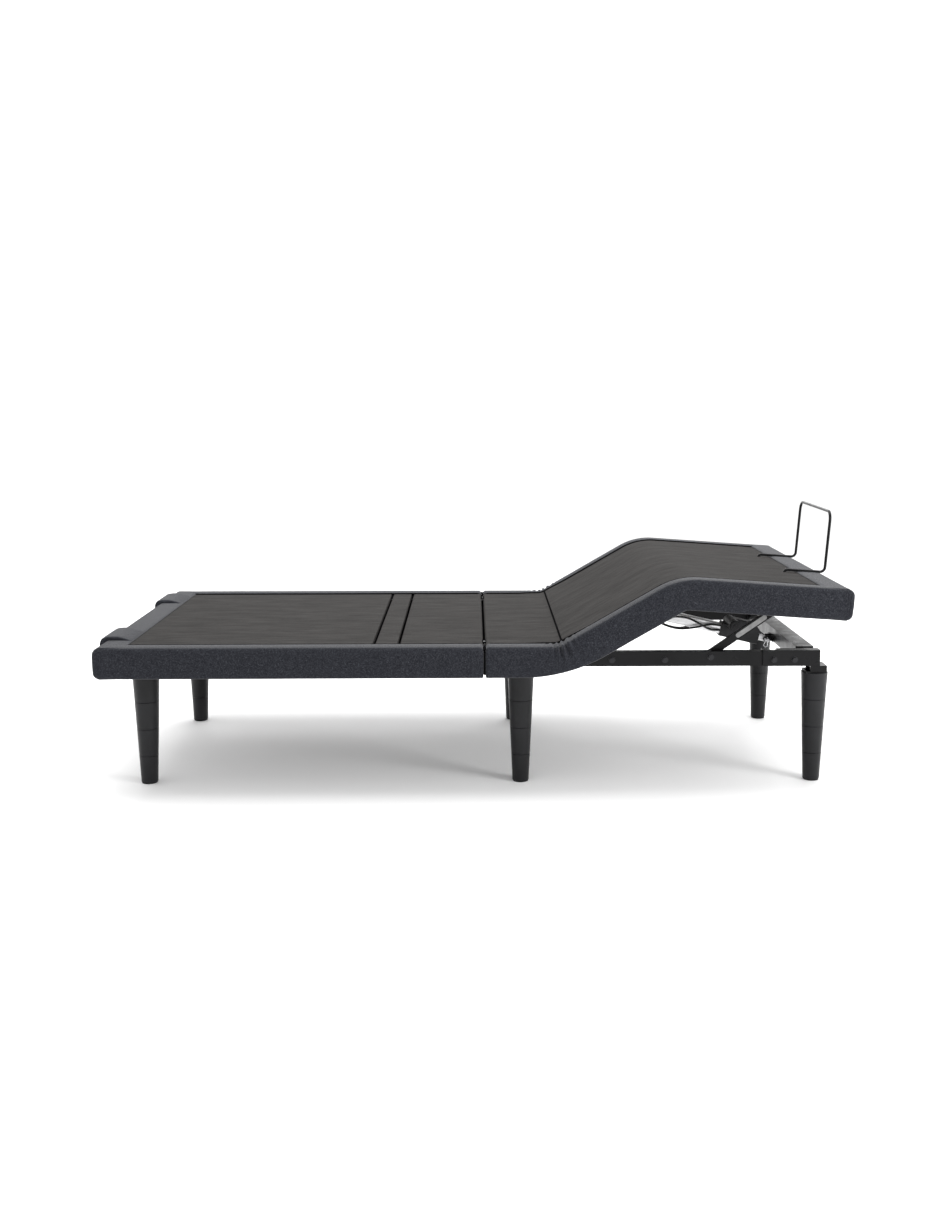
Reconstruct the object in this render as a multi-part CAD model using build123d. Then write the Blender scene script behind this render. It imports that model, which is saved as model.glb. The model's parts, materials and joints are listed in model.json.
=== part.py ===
"""Adjustable bed base, twin XL: a steel frame on six screw-in legs, four upholstered deck sections,
two linear actuators, a lumbar strip and a mattress retainer bar.

Frame: +X towards the foot end, +Y across, +Z up, origin on the floor under the middle of the object.
Millimetres. Every part is drawn with the deck flat, and the thigh and calf sections are then turned
to the pose that the part is stored in: thigh raised, calf nearly level, head flat.
"""

from build123d import *
import os
from math import atan2, cos, degrees, hypot, radians, sin, tan

# ---- driving dimensions -------------------------------------------------------------------------
WIDTH = 965.0
LENGTH = 2032.0
GAP_X = 18.0  # the gap between the head section and the seat section
DECK_TOP = 400.0
SKIRT_DEPTH = 80.0
BOARD = 15.0
BOARD_SINK = 2.0  # the boards lie this far under the padded border
TUBE = 14.0  # height of the deck's flat steel tubes
TUBE_WALL = 1.5
BORDER = 55.0  # width of the padded border on top
END_BORDER = 76.0
SKIRT_WALL = 25.0

RAIL_TOP = 365.0
RAIL_BOTTOM = 325.0
RAIL_IN = 335.0  # inner and outer faces of the side rails, as distances from the centre plane
RAIL_OUT = 360.0
WALL = 2.0

LEG_Y = 335.0
LEG_TOP = 305.0
LEG_TOP_R = 36.0
LEG_FOOT_R = 22.5
LEG_SEGMENTS = 4
GLIDE = 3.0
LEG_XS = {"head": GAP_X - 919.0, "center": GAP_X + 100.0, "foot": GAP_X + 905.0}

THIGH_REST = 30.0  # degrees that the thigh section is raised in the stored pose
CALF_REST = -4.0
THIGH_MAX = 40.0
KNEE_RATIO = (CALF_REST - THIGH_REST) / THIGH_REST  # knee turn for each degree of thigh turn

# ---- places worked out from them ----------------------------------------------------------------
HALF = WIDTH / 2
HEAD_END = GAP_X - LENGTH / 2
FOOT_END = GAP_X + LENGTH / 2
SKIRT_BOTTOM = DECK_TOP - SKIRT_DEPTH
BOARD_TOP = DECK_TOP - BOARD_SINK
BOARD_LOW = BOARD_TOP - BOARD
TUBE_LOW = BOARD_LOW - TUBE
BOARD_Y = HALF - BORDER
SKIRT_IN = HALF - SKIRT_WALL

HEAD_PIVOT = (GAP_X, 390.0)
THIGH_PIVOT = (GAP_X + 212.0, 338.0)
KNEE_FLAT = (GAP_X + 575.7, 355.3)
HALF_GAP = 4.0
BOARD_GAP = 8.0  # the boards stop this far from the head hinge, to clear each other at full raise
KNEE_BOARD_GAP = 34.0  # and this far from the knee, so that the cloth bends over it in a curve

ROLLER_R = 11.5
ROLLER_Z = TUBE_LOW - ROLLER_R - 0.5  # roller centre under a roller track, deck flat
TRACK_Y = (296.0, 314.0)
ARM_Y = (318.0, 324.0)

LINK_PIVOT = (GAP_X + 614.0, 350.0)
LINK_LENGTH = 285.5
LINK_REST = 34.7
LINK_WIDTH = 20.0

LIFTER_PIVOT = (GAP_X - 120.0, 338.0)
LIFTER_ARM = 330.0
LEVER = 100.0
LEVER_FLAT = 5.0  # the head lever's angle above -X with the head flat

HEAD_ANCHOR = (GAP_X - 845.0, 330.0)
FOOT_ANCHOR = (GAP_X + 845.0, 330.0)
THIGH_PIN_FLAT = (THIGH_PIVOT[0] + 190.0, 348.0)
ACTUATOR = 32.0  # side of the aluminium actuator housing
ROD_R = 9.0

SLOT_X = (GAP_X - 299.0, GAP_X - 289.0, GAP_X - 233.0, GAP_X - 223.0)
LUMBAR_BOX_Z = (322.0, 366.0)

BAR_R = 4.0
BAR_Y = 167.0
BAR_X = GAP_X + 1024.0
HOOK_X = GAP_X + 909.0
BAR_RISE = 178.0


# ---- helpers ------------------------------------------------------------------------------------
def block(x0, x1, y0, y1, z0, z1):
    """A box between two corners."""
    return Pos((x0 + x1) / 2, (y0 + y1) / 2, (z0 + z1) / 2) * Box(x1 - x0, y1 - y0, z1 - z0)


def both_sides(x0, x1, y0, y1, z0, z1):
    """The same box on the near side and on the far side."""
    return [block(x0, x1, -y1, -y0, z0, z1), block(x0, x1, y0, y1, z0, z1)]


def rod_y(x, z, r, y0, y1):
    """A cylinder across the bed."""
    return Pos(x, (y0 + y1) / 2, z) * Rot(90, 0, 0) * Cylinder(r, y1 - y0)


def rod_z(x, y, r, z0, z1):
    """An upright cylinder."""
    return Pos(x, y, (z0 + z1) / 2) * Cylinder(r, z1 - z0)


def side_plate(points, y0, y1):
    """An outline in the side view, (x, z) points, given a thickness across the bed."""
    face = make_face(Polyline(*[(x, z) for x, z in points], close=True))
    return Pos(0, y1, 0) * Rot(90, 0, 0) * extrude(face, y1 - y0)


def mirrored(shapes):
    """The shapes and their mirror images on the other side of the bed."""
    return [*shapes, *[s.mirror(Plane.XZ) for s in shapes]]


def tube_x(x0, x1, y0, y1, z0, z1, wall=TUBE_WALL):
    """A rectangular tube along the bed."""
    return block(x0, x1, y0, y1, z0, z1) - block(x0, x1, y0 + wall, y1 - wall, z0 + wall, z1 - wall)


def tube_y(x0, x1, y0, y1, z0, z1, wall=TUBE_WALL):
    """A rectangular tube across the bed."""
    return block(x0, x1, y0, y1, z0, z1) - block(x0 + wall, x1 - wall, y0, y1, z0 + wall, z1 - wall)


def turned(point, pivot, angle):
    """(x, z) after the foot side is raised about pivot by angle degrees."""
    a = radians(angle)
    dx, dz = point[0] - pivot[0], point[1] - pivot[1]
    return (pivot[0] + dx * cos(a) - dz * sin(a), pivot[1] + dx * sin(a) + dz * cos(a))


def turn(shape, pivot, angle):
    """The shape after the foot side is raised about pivot by angle degrees."""
    return shape.rotate(Axis((pivot[0], 0, pivot[1]), (0, -1, 0)), angle)


def as_thigh(shape):
    return turn(shape, THIGH_PIVOT, THIGH_REST)


def as_calf(shape):
    return as_thigh(turn(shape, KNEE_FLAT, KNEE_RATIO * THIGH_REST))


def as_drawn(shape):
    return shape


def flipped(shape):
    """Upside down, for an actuator that points towards the head."""
    return shape.mirror(Plane.XY)


def save(name, shapes, place=as_drawn):
    """Writes one node from its separate solids."""
    solids = [s for shape in shapes for s in place(shape).solids()]
    export_step(Compound(children=solids) if len(solids) > 1 else solids[0], f"parts/{name}.step")


THIGH_PIN_REST = turned(THIGH_PIN_FLAT, THIGH_PIVOT, THIGH_REST)
LINK_ROLLER_REST = (
    LINK_PIVOT[0] + LINK_LENGTH * cos(radians(LINK_REST)),
    LINK_PIVOT[1] + LINK_LENGTH * sin(radians(LINK_REST)),
)
HEAD_ROLLER = (
    LIFTER_PIVOT[0] - (LIFTER_ARM**2 - (ROLLER_Z - LIFTER_PIVOT[1]) ** 2) ** 0.5,
    ROLLER_Z,
)
LEVER_TIP = (
    LIFTER_PIVOT[0] - LEVER * cos(radians(LEVER_FLAT)),
    LIFTER_PIVOT[1] + LEVER * sin(radians(LEVER_FLAT)),
)


# ---- base frame ---------------------------------------------------------------------------------
RAIL_X = (GAP_X - 950.0, GAP_X + 912.0)
SLEEVE_X = GAP_X + 756.0


def side_rail():
    """The near side rail: one rectangular tube, the length of the base."""
    return tube_x(*RAIL_X, -RAIL_OUT, -RAIL_IN, RAIL_BOTTOM, RAIL_TOP, WALL)


HEADBOARD_Y = 240.0
HEADBOARD_SPACING = 50.0
HEADBOARD_HOLE_R = 4.25
HEAD_RAIL_X = (GAP_X - 950.0, GAP_X - 900.0)
FOOT_RAIL_X = (GAP_X + 862.0, GAP_X + 912.0)
FOOT_RAIL_TOP = 342.0
FOOT_RAIL_RAISED = 291.0  # half length of its raised middle
CENTER_RAIL_X = (GAP_X + 75.0, GAP_X + 125.0)


def head_cross_rail():
    """The cross rail at the head, with two pairs of bolt holes under it for headboard brackets."""
    rail = tube_y(*HEAD_RAIL_X, -RAIL_IN, RAIL_IN, RAIL_BOTTOM, RAIL_TOP, WALL)
    middle = sum(HEAD_RAIL_X) / 2
    for side in (-1, 1):
        for step in (-0.5, 0.5):
            y = side * HEADBOARD_Y + step * HEADBOARD_SPACING
            rail -= rod_z(middle, y, HEADBOARD_HOLE_R, RAIL_BOTTOM - 1, RAIL_BOTTOM + WALL + 1)
    return rail


def foot_cross_rail():
    """The cross rail at the foot, lower at its ends, where the calf links fold down over it."""
    low = tube_y(*FOOT_RAIL_X, -RAIL_IN, RAIL_IN, RAIL_BOTTOM, FOOT_RAIL_TOP, WALL)
    return low + tube_y(*FOOT_RAIL_X, -FOOT_RAIL_RAISED, FOOT_RAIL_RAISED, FOOT_RAIL_TOP, RAIL_TOP, WALL)


def center_cross_rail():
    return tube_y(*CENTER_RAIL_X, -RAIL_IN, RAIL_IN, RAIL_BOTTOM, RAIL_TOP, WALL)


SLEEVE = 4.0


def rail_end_sleeve():
    """A folded plate over the near rail's foot end, with a step in its top flange."""
    x0, x1 = SLEEVE_X, RAIL_X[1]
    web = block(x0, x1, -RAIL_OUT - SLEEVE, -RAIL_OUT, RAIL_BOTTOM, RAIL_TOP + SLEEVE)
    web -= block(x0 + 14, x0 + 36, -RAIL_OUT - SLEEVE, -RAIL_OUT, RAIL_TOP + 1.5, RAIL_TOP + SLEEVE)
    flange = block(x0 + 40, x1, -RAIL_OUT, -RAIL_IN, RAIL_TOP, RAIL_TOP + SLEEVE)
    tab = block(x0, x0 + 14, -RAIL_OUT, -RAIL_IN, RAIL_TOP, RAIL_TOP + SLEEVE)
    across = web.edges().filter_by(Axis.Y)
    corner = [e for e in across if e.center().X > x1 - 1 and e.center().Z > RAIL_TOP]
    return fillet(corner, 3.5) + flange + tab


BRACKET_PLATE = 4.0
BRACKET_HALF = 27.0
BRACKET_X = (-29.0, -18.0, 27.0)  # its tongue, its back opening and its foot end, from the leg's axis
STUD_R = 5.0
STUD_HALF = 14.0


def leg_bracket(x):
    """A box bracket, open towards the head, that joins a near leg to its rail."""
    y0, y1 = -LEG_Y - BRACKET_HALF, -LEG_Y + BRACKET_HALF
    tongue, back, front = [x + d for d in BRACKET_X]
    t = BRACKET_PLATE
    shell = block(back, front, y0, y1, LEG_TOP, RAIL_BOTTOM)
    shell -= block(back - 1, front - t, y0 + t, y1 - t, LEG_TOP + t, RAIL_BOTTOM - t)
    shell += block(tongue, back, y0, y1, LEG_TOP, LEG_TOP + t)
    return shell - rod_z(x, -LEG_Y, STUD_R, LEG_TOP - 1, LEG_TOP + t + 1)


def leg_radius(z):
    share = (z - GLIDE) / (LEG_TOP - GLIDE)
    return LEG_FOOT_R + (LEG_TOP_R - LEG_FOOT_R) * share


def leg_joints():
    """Heights of the joints between the leg's segments, floor end first."""
    step = (LEG_TOP - GLIDE) / LEG_SEGMENTS
    return [GLIDE + n * step for n in range(LEG_SEGMENTS + 1)]


def leg(x, side):
    """One tapered leg as stacked screw-together segments, bored for their studs."""
    ease = 0.9
    segments = []
    heights = leg_joints()
    for z0, z1 in zip(heights, heights[1:]):
        r0, r1 = leg_radius(z0), leg_radius(z1)
        outline = Polyline(
            (0, z0), (r0 - ease, z0), (r0, z0 + ease), (r1, z1 - ease), (r1 - ease, z1), (0, z1), close=True
        )
        segment = Pos(x, side * LEG_Y, 0) * revolve(Plane.XZ * make_face(outline), Axis.Z)
        if z0 > GLIDE:
            segment -= rod_z(x, side * LEG_Y, STUD_R, z0 - 1, z0 + STUD_HALF)
        segment -= rod_z(x, side * LEG_Y, STUD_R, z1 - STUD_HALF, z1 + 1)
        segments.append(segment)
    return segments


def leg_studs():
    """A threaded stud across each leg joint, and one from each leg into its bracket."""
    studs = []
    for x in LEG_XS.values():
        for side in (-1, 1):
            for z in leg_joints()[1:-1]:
                studs.append(rod_z(x, side * LEG_Y, STUD_R, z - STUD_HALF, z + STUD_HALF))
            studs.append(rod_z(x, side * LEG_Y, STUD_R, LEG_TOP - STUD_HALF, LEG_TOP + BRACKET_PLATE + 6))
    return studs


def leg_glides():
    return [
        rod_z(x, side * LEG_Y, LEG_FOOT_R - 1.5, 0, GLIDE) for x in LEG_XS.values() for side in (-1, 1)
    ]


BOLT_XS = [GAP_X + x for x in (-870, -700, -430, 160, 346, 490, 614)]
SLEEVE_BOLT_XS = [GAP_X + x for x in (786, 842)]


def frame_bolts():
    """Hexagon bolt heads with washers on the outer faces of the rails and sleeves."""
    bolts = []
    for xs, face in ((BOLT_XS, RAIL_OUT), (SLEEVE_BOLT_XS, RAIL_OUT + SLEEVE)):
        for x in xs:
            z = LINK_PIVOT[1] if x == LINK_PIVOT[0] else 343.0
            washer = rod_y(x, z, 9, -face - 1.5, -face)
            head = Pos(x, -face - 1.5, z) * Rot(90, 0, 0) * extrude(RegularPolygon(7, 6), 5)
            bolts.append(washer + head)
    return mirrored(bolts)


# ---- hinges -------------------------------------------------------------------------------------
PIN_R = 4.0
PIN_CLEAR = 0.05
SEAT_EAR_Y = (361.0, 366.0)
HEAD_EAR_Y = (367.0, 372.0)
THIGH_EAR_Y = (367.0, 373.0)
THIGH_PIN_R = 6.0
KNEE_THIGH_EAR_Y = (386.0, 391.0)
KNEE_CALF_EAR_Y = (392.0, 397.0)
SEAT_END = THIGH_PIVOT[0] - 26.0


def seat_hinge_ear():
    """Stands on the seat frame and holds the head hinge's pin."""
    x, z = HEAD_PIVOT
    y0, y1 = SEAT_EAR_Y
    plate = side_plate([(x - 7, z), (x + 7, z), (x + 40, TUBE_LOW), (x + 8, TUBE_LOW)], y0, y1)
    foot = block(x + 8, x + 40, y0 - 1, y1, RAIL_TOP - 20, TUBE_LOW)
    return (plate + rod_y(x, z, 7.5, y0, y1) + foot) - rod_y(x, z, PIN_R, y0 - 1, y1 + 1)


def head_hinge_ear():
    """Stands on the head section's first cross tube and turns on the head hinge's pin."""
    x, z = HEAD_PIVOT
    y0, y1 = HEAD_EAR_Y
    plate = side_plate([(x + 2, z - 7), (x, z + 7), (x - 45, BOARD_LOW + 6), (x - 45, BOARD_LOW)], y0, y1)
    return (plate + rod_y(x, z, 7.5, y0, y1)) - rod_y(x, z, PIN_R + PIN_CLEAR, y0 - 1, y1 + 1)


def thigh_hinge_ear():
    """Hangs from the thigh section's first cross tube to the pin on the side rail."""
    x, z = THIGH_PIVOT
    y0, y1 = THIGH_EAR_Y
    plate = side_plate([(x - 4, z - 10), (x + 70, TUBE_LOW), (x + 40, TUBE_LOW), (x - 8, z + 9)], y0, y1)
    return (plate + rod_y(x, z, 12, y0, y1)) - rod_y(x, z, THIGH_PIN_R + PIN_CLEAR, y0 - 1, y1 + 1)


def knee_ear(side, y_range, bore):
    """Hangs from the cross tube beside the knee; side is -1 on the thigh section, 1 on the calf."""
    x, z = KNEE_FLAT
    y0, y1 = y_range
    plate = side_plate(
        [(x, z - 10), (x + side * 48, TUBE_LOW), (x + side * 22, TUBE_LOW), (x + side * 4, z + 9)], y0, y1
    )
    return (plate + rod_y(x, z, 10, y0, y1)) - rod_y(x, z, bore, y0 - 1, y1 + 1)


def hinge_pins():
    """Pins that stay with the base: head hinge, thigh hinge, calf link and lifter stub axles."""
    return mirrored(
        [
            rod_y(*HEAD_PIVOT, PIN_R, -376, -358),
            rod_y(*THIGH_PIVOT, THIGH_PIN_R, -THIGH_EAR_Y[1] - 3, -RAIL_OUT),
            rod_y(*LINK_PIVOT, THIGH_PIN_R, -RAIL_IN, -RAIL_IN + 22),
            rod_y(*LIFTER_PIVOT, 10, -RAIL_IN, -RAIL_IN + 20),
        ]
    )


# ---- deck sections ------------------------------------------------------------------------------
ROUND_TOP = 14.0
ROUND_LOW = 7.0
CORNER = 16.0


def skirt_section():
    """Cross-section of the near padded skirt in (y, z): side wall and top border, outer edges round."""
    y0, y1, y2 = -HALF, -SKIRT_IN, -BOARD_Y
    outline = make_face(
        Polyline((y0, SKIRT_BOTTOM), (y1, SKIRT_BOTTOM), (y1, BOARD_LOW), (y2, BOARD_LOW),
                 (y2, DECK_TOP), (y0, DECK_TOP), close=True)
    )
    low = outline.vertices().filter_by(lambda v: v.Y < SKIRT_BOTTOM + 1 and v.X < y0 + 1)
    outline = fillet(low, ROUND_LOW)
    top = outline.vertices().filter_by(lambda v: v.Y > DECK_TOP - 1 and v.X < y0 + 1)
    return fillet(top, ROUND_TOP)


def side_skirt(side_view, corner=None):
    """The near skirt of one section, cut to a side view. A corner at X = corner is round in plan."""
    xs = [x for x, _ in side_view]
    x0, x1 = min(xs), max(xs)
    bar = Pos(x0, 0, 0) * extrude(Plane.YZ * skirt_section(), x1 - x0)
    shape = bar & side_plate(side_view, -HALF, -BOARD_Y)
    if corner is not None:
        upright = [e for e in shape.edges().filter_by(Axis.Z) if e.center().Y < -HALF + 1]
        shape = fillet([e for e in upright if abs(e.center().X - corner) < 1], CORNER)
    return shape


def end_skirt(x_out, inward):
    """The padded skirt across the head or foot end, between the side skirts."""
    x_wall = x_out + inward * SKIRT_WALL
    x_top = x_out + inward * END_BORDER
    outline = make_face(
        Polyline((x_out, SKIRT_BOTTOM), (x_wall, SKIRT_BOTTOM), (x_wall, BOARD_LOW), (x_top, BOARD_LOW),
                 (x_top, DECK_TOP), (x_out, DECK_TOP), close=True)
    )
    top = outline.vertices().filter_by(lambda v: v.Y > DECK_TOP - 1 and abs(v.X - x_out) < 1)
    outline = fillet(top, ROUND_TOP)
    return Pos(0, BOARD_Y, 0) * Rot(90, 0, 0) * extrude(outline, 2 * BOARD_Y)


def board(x0, x1, half=BOARD_Y):
    return block(x0, x1, -half, half, BOARD_LOW, BOARD_TOP)


def hinge_notches(x0, x1):
    """Clearance through a board for the head hinge's ears."""
    return both_sides(x0, x1, 357, 378, BOARD_LOW - 1, BOARD_TOP + 1)


SIDE_TUBE_Y = (400.0, 426.0)


def deck_frame(x0, x1, crosses):
    """Side tubes and cross tubes of one section, as separate tubes that meet face to face."""
    y0, y1 = SIDE_TUBE_Y
    sides = mirrored([tube_x(x0, x1, -y1, -y0, TUBE_LOW, BOARD_LOW)])
    return sides + [tube_y(a, b, -y0, y0, TUBE_LOW, BOARD_LOW) for a, b in crosses]


def roller_tracks(x0, x1):
    return both_sides(x0, x1, *TRACK_Y, TUBE_LOW, BOARD_LOW)


# Half of the angle that each moving joint closes by, which sets the bevel of the ends beside it.
BEVEL_SEAT = radians(THIGH_MAX / 2)
BEVEL_KNEE = radians(-KNEE_RATIO * THIGH_MAX / 2)


def seat_side_view():
    px, pz = THIGH_PIVOT
    top = px - 1 - (DECK_TOP - pz) * tan(BEVEL_SEAT)
    return [(GAP_X + HALF_GAP, SKIRT_BOTTOM), (px - 1, SKIRT_BOTTOM), (px - 1, pz), (top, DECK_TOP),
            (GAP_X + HALF_GAP + 9, DECK_TOP), (GAP_X + HALF_GAP, DECK_TOP - 9)]


def thigh_side_view():
    px, pz = THIGH_PIVOT
    kx, kz = KNEE_FLAT
    top = px + 1 + (DECK_TOP - pz) * tan(BEVEL_SEAT)
    low = kx - 1 - (kz - SKIRT_BOTTOM) * tan(BEVEL_KNEE)
    return [(px + 1, SKIRT_BOTTOM), (low, SKIRT_BOTTOM), (kx - 1, kz), (kx - 1, DECK_TOP),
            (top, DECK_TOP), (px + 1, pz)]


def calf_side_view():
    kx, kz = KNEE_FLAT
    low = kx + 1 + (kz - SKIRT_BOTTOM) * tan(BEVEL_KNEE)
    return [(low, SKIRT_BOTTOM), (FOOT_END, SKIRT_BOTTOM), (FOOT_END, DECK_TOP),
            (kx + 1, DECK_TOP), (kx + 1, kz)]


def head_side_view():
    x = GAP_X - HALF_GAP
    return [(HEAD_END, SKIRT_BOTTOM), (x, SKIRT_BOTTOM), (x, DECK_TOP - 9),
            (x - 9, DECK_TOP), (HEAD_END, DECK_TOP)]


def head_end_loop(y0, y1):
    """A padded fabric loop over the head end's edge."""
    rise, reach = 11.0, 14.0
    x_in, x_out = HEAD_END + END_BORDER - 6, HEAD_END - reach
    outline = make_face(
        Polyline((x_in, DECK_TOP), (HEAD_END + 30, DECK_TOP + rise), (x_out, DECK_TOP + rise - 2),
                 (x_out, DECK_TOP - 30), (HEAD_END, SKIRT_BOTTOM + 18), (HEAD_END, DECK_TOP), close=True)
    )
    corner = outline.vertices().filter_by(lambda v: v.X < x_out + 1 and v.Y > DECK_TOP)
    pad = Pos(0, y1, 0) * Rot(90, 0, 0) * extrude(fillet(corner, 12), y1 - y0)
    return pad - end_skirt(HEAD_END, 1)


# ---- head lifter, calf links, rollers -----------------------------------------------------------
def bar_between(a, b, width, y0, y1):
    """A flat bar with round ends from a to b, (x, z) points."""
    length = hypot(b[0] - a[0], b[1] - a[1])
    ux, uz = (b[0] - a[0]) / length, (b[1] - a[1]) / length
    h = width / 2
    corners = [(a[0] - uz * h, a[1] + ux * h), (b[0] - uz * h, b[1] + ux * h),
               (b[0] + uz * h, b[1] - ux * h), (a[0] + uz * h, a[1] - ux * h)]
    return side_plate(corners, y0, y1) + rod_y(*a, h, y0, y1) + rod_y(*b, h, y0, y1)


def head_lifter():
    """Torque tube between the rails, with two arms that lift the head section and one driven lever."""
    x, z = LIFTER_PIVOT
    tube = rod_y(x, z, 15, -RAIL_IN + 1, RAIL_IN - 1) - rod_y(x, z, 10 + PIN_CLEAR, -RAIL_IN, RAIL_IN)
    arms = []
    for y0, y1 in ((-ARM_Y[1], -ARM_Y[0]), (ARM_Y[0], ARM_Y[1])):
        arm = bar_between(LIFTER_PIVOT, HEAD_ROLLER, 22, y0, y1) + rod_y(x, z, 19, y0, y1)
        arm -= rod_y(x, z, 15, y0 - 1, y1 + 1)
        arms.append(arm)
        inner = min(abs(y0), abs(y1))
        side = -1 if y0 < 0 else 1
        ends = sorted((side * inner, side * (TRACK_Y[0] - 2)))
        arms.append(rod_y(*HEAD_ROLLER, PIN_R, *ends))
    lever = bar_between(LIFTER_PIVOT, LEVER_TIP, 24, -4, 4) + rod_y(x, z, 20, -4, 4)
    lever -= rod_y(x, z, 15, -5, 5)
    return [tube, *arms, lever]


def rollers(centre):
    wheel = rod_y(*centre, ROLLER_R, -TRACK_Y[1] + 0.5, -TRACK_Y[0])
    return mirrored([wheel - rod_y(*centre, PIN_R + PIN_CLEAR, -TRACK_Y[1], -TRACK_Y[0] + 1)])


def calf_link():
    """Pressed channel from the rail to the roller under the calf section, open inwards."""
    outer, depth, wall = -RAIL_IN + 1.5, 14.0, 2.5
    link = bar_between(LINK_PIVOT, LINK_ROLLER_REST, LINK_WIDTH, outer, outer + depth)
    inside = bar_between(LINK_PIVOT, LINK_ROLLER_REST, LINK_WIDTH - 2 * wall, outer + wall, outer + depth + 1)
    link -= inside
    link -= rod_y(*LINK_PIVOT, THIGH_PIN_R + PIN_CLEAR, outer - 1, outer + wall + 1)
    axle = rod_y(*LINK_ROLLER_REST, PIN_R, outer + wall, -TRACK_Y[0] + 2)
    return [link, axle]


def link_label():
    """Blank label plate on the outer face of a calf link."""
    ends = [
        (LINK_PIVOT[0] + d * cos(radians(LINK_REST)), LINK_PIVOT[1] + d * sin(radians(LINK_REST)))
        for d in (96, 182)
    ]
    face = -RAIL_IN + 1.5
    return bar_between(*ends, 13, face - 0.6, face)


# ---- actuators ----------------------------------------------------------------------------------
EYE_Y = 8.0
FORK_Y = (5.5, 10.5)
FORK_DEPTH = 34.0  # from the yoke to the pin: the driven plate shifts along the fork in mid travel
PIN_BIG = 5.0


def on_line(anchor, tip):
    """Places a shape drawn along +X from the origin so that it runs from anchor to tip."""
    angle = degrees(atan2(tip[1] - anchor[1], tip[0] - anchor[0]))
    return lambda s: (Pos(anchor[0], 0, anchor[1]) * Rot(0, -angle, 0)) * s


def actuator_housing(length):
    """Aluminium channel that the rod runs in, with a black end eye. Drawn along +X from the anchor."""
    h = ACTUATOR / 2
    profile = block(28, length, -h, h, -h, h)
    profile = fillet(profile.edges().filter_by(Axis.X), 4)
    profile -= rod_x(0, 0, ROD_R + 0.5, 60, length + 1)
    for side in (-1, 1):
        profile -= block(30, length - 18, side * h - 1.5, side * h + 1.5, -5, 5)
    neck = block(0, 28, -EYE_Y, EYE_Y, -9, 9) + rod_y(0, 0, 9, -EYE_Y, EYE_Y)
    return [profile, neck - rod_y(0, 0, PIN_BIG + PIN_CLEAR, -EYE_Y - 1, EYE_Y + 1)]


def rod_x(y, z, r, x0, x1):
    """A cylinder along the bed."""
    return Pos((x0 + x1) / 2, y, z) * Rot(0, 90, 0) * Cylinder(r, x1 - x0)


MOTOR_R = 16.5
MOTOR_RISE = 26.0
MOTOR_AT = 117.0
GEARBOX_X = (26.0, 108.0)  # along the housing, from the anchor
GEARBOX_RISE = 40.0


def actuator_motor():
    """Gearbox around the housing, and the motor across it. Drawn along +X from the anchor."""
    h = ACTUATOR / 2
    x0, x1 = GEARBOX_X
    outline = [(x0, -h - 5), (MOTOR_AT + 26, -h - 5), (MOTOR_AT + 26, h + 5), (x1, h + 5),
               (x1, GEARBOX_RISE), (x0 + 22, GEARBOX_RISE), (x0, h + 5)]
    box = side_plate(outline, -h - 6, h + 6)
    box = fillet(box.edges().filter_by(Axis.X), 4)
    box -= block(x0 - 1, MOTOR_AT + 27, -h, h, -h, h)
    can = rod_y(MOTOR_AT, MOTOR_RISE, MOTOR_R, -78, h + 6)
    can -= block(MOTOR_AT - 30, MOTOR_AT + 30, -h - 6, h + 6, -h, h + 5)
    can -= box
    cap = rod_y(MOTOR_AT, MOTOR_RISE, MOTOR_R - 3, -84, -78) + rod_y(MOTOR_AT, MOTOR_RISE, 5, -87, -84)
    return [box, can, cap]


def actuator_rod(reach, housing):
    """The rod, with a fork that straddles the driven lever. Drawn along +X from the anchor."""
    yoke_end = reach - FORK_DEPTH
    rod = rod_x(0, 0, ROD_R, housing - 190, yoke_end - 8)
    fork = block(yoke_end - 10, yoke_end, -FORK_Y[1], FORK_Y[1], -10, 10)
    cheeks = []
    for y0, y1 in ((-FORK_Y[1], -FORK_Y[0]), (FORK_Y[0], FORK_Y[1])):
        cheeks.append(block(yoke_end, reach, y0, y1, -10, 10) + rod_y(reach, 0, 10, y0, y1))
    heads = [rod_y(reach, 0, 8, -FORK_Y[1] - 4, -FORK_Y[1]), rod_y(reach, 0, 7, FORK_Y[1], FORK_Y[1] + 3)]
    for piece in [*cheeks, *heads]:
        fork += piece
    return [rod + fork]


def actuator_bracket(anchor, rail_face, rail_z):
    """Two ears from a cross rail that hold an actuator's end eye."""
    ears = []
    x, z = anchor
    side = 1 if rail_face > x else -1
    for y0, y1 in ((-EYE_Y - 5.5, -EYE_Y - 0.5), (EYE_Y + 0.5, EYE_Y + 5.5)):
        x_span = sorted((x, rail_face))
        plate = block(*x_span, y0, y1, rail_z[0], rail_z[1]) + rod_y(x, z, 9, y0, y1)
        ears.append(plate - rod_y(x, z, PIN_BIG, y0 - 1, y1 + 1))
    foot_x = sorted((rail_face, rail_face - side * 4))
    foot_y = EYE_Y + 22
    outer = [
        block(*foot_x, -foot_y, -EYE_Y - 5.5, rail_z[0], rail_z[1]),
        block(*foot_x, EYE_Y + 5.5, foot_y, rail_z[0], rail_z[1]),
    ]
    return [ears[0] + outer[0], ears[1] + outer[1]]


def clevis_pin(anchor):
    """Headed pin through an anchor, with the hairpin clip that keeps it in."""
    x, z = anchor
    pin = rod_y(x, z, PIN_BIG, -34, EYE_Y + 9) + rod_y(x, z, 8, EYE_Y + 6, EYE_Y + 10)
    route = FilletPolyline(
        (x, -29, z + 9), (x, -29, z - 17), (x - 6, -29, z - 21), (x - 12, -29, z - 15), (x - 7, -29, z - 5),
        (x - 7.5, -29, z + 7), radius=2.5,
    )
    clip = sweep(Plane(route @ 0, z_dir=route % 0) * Circle(1.1), route)
    return [pin - rod_z(x, -29, 1.15, z - 8, z + 8), clip]


# ---- cables -------------------------------------------------------------------------------------
CABLE_R = 3.0


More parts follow.
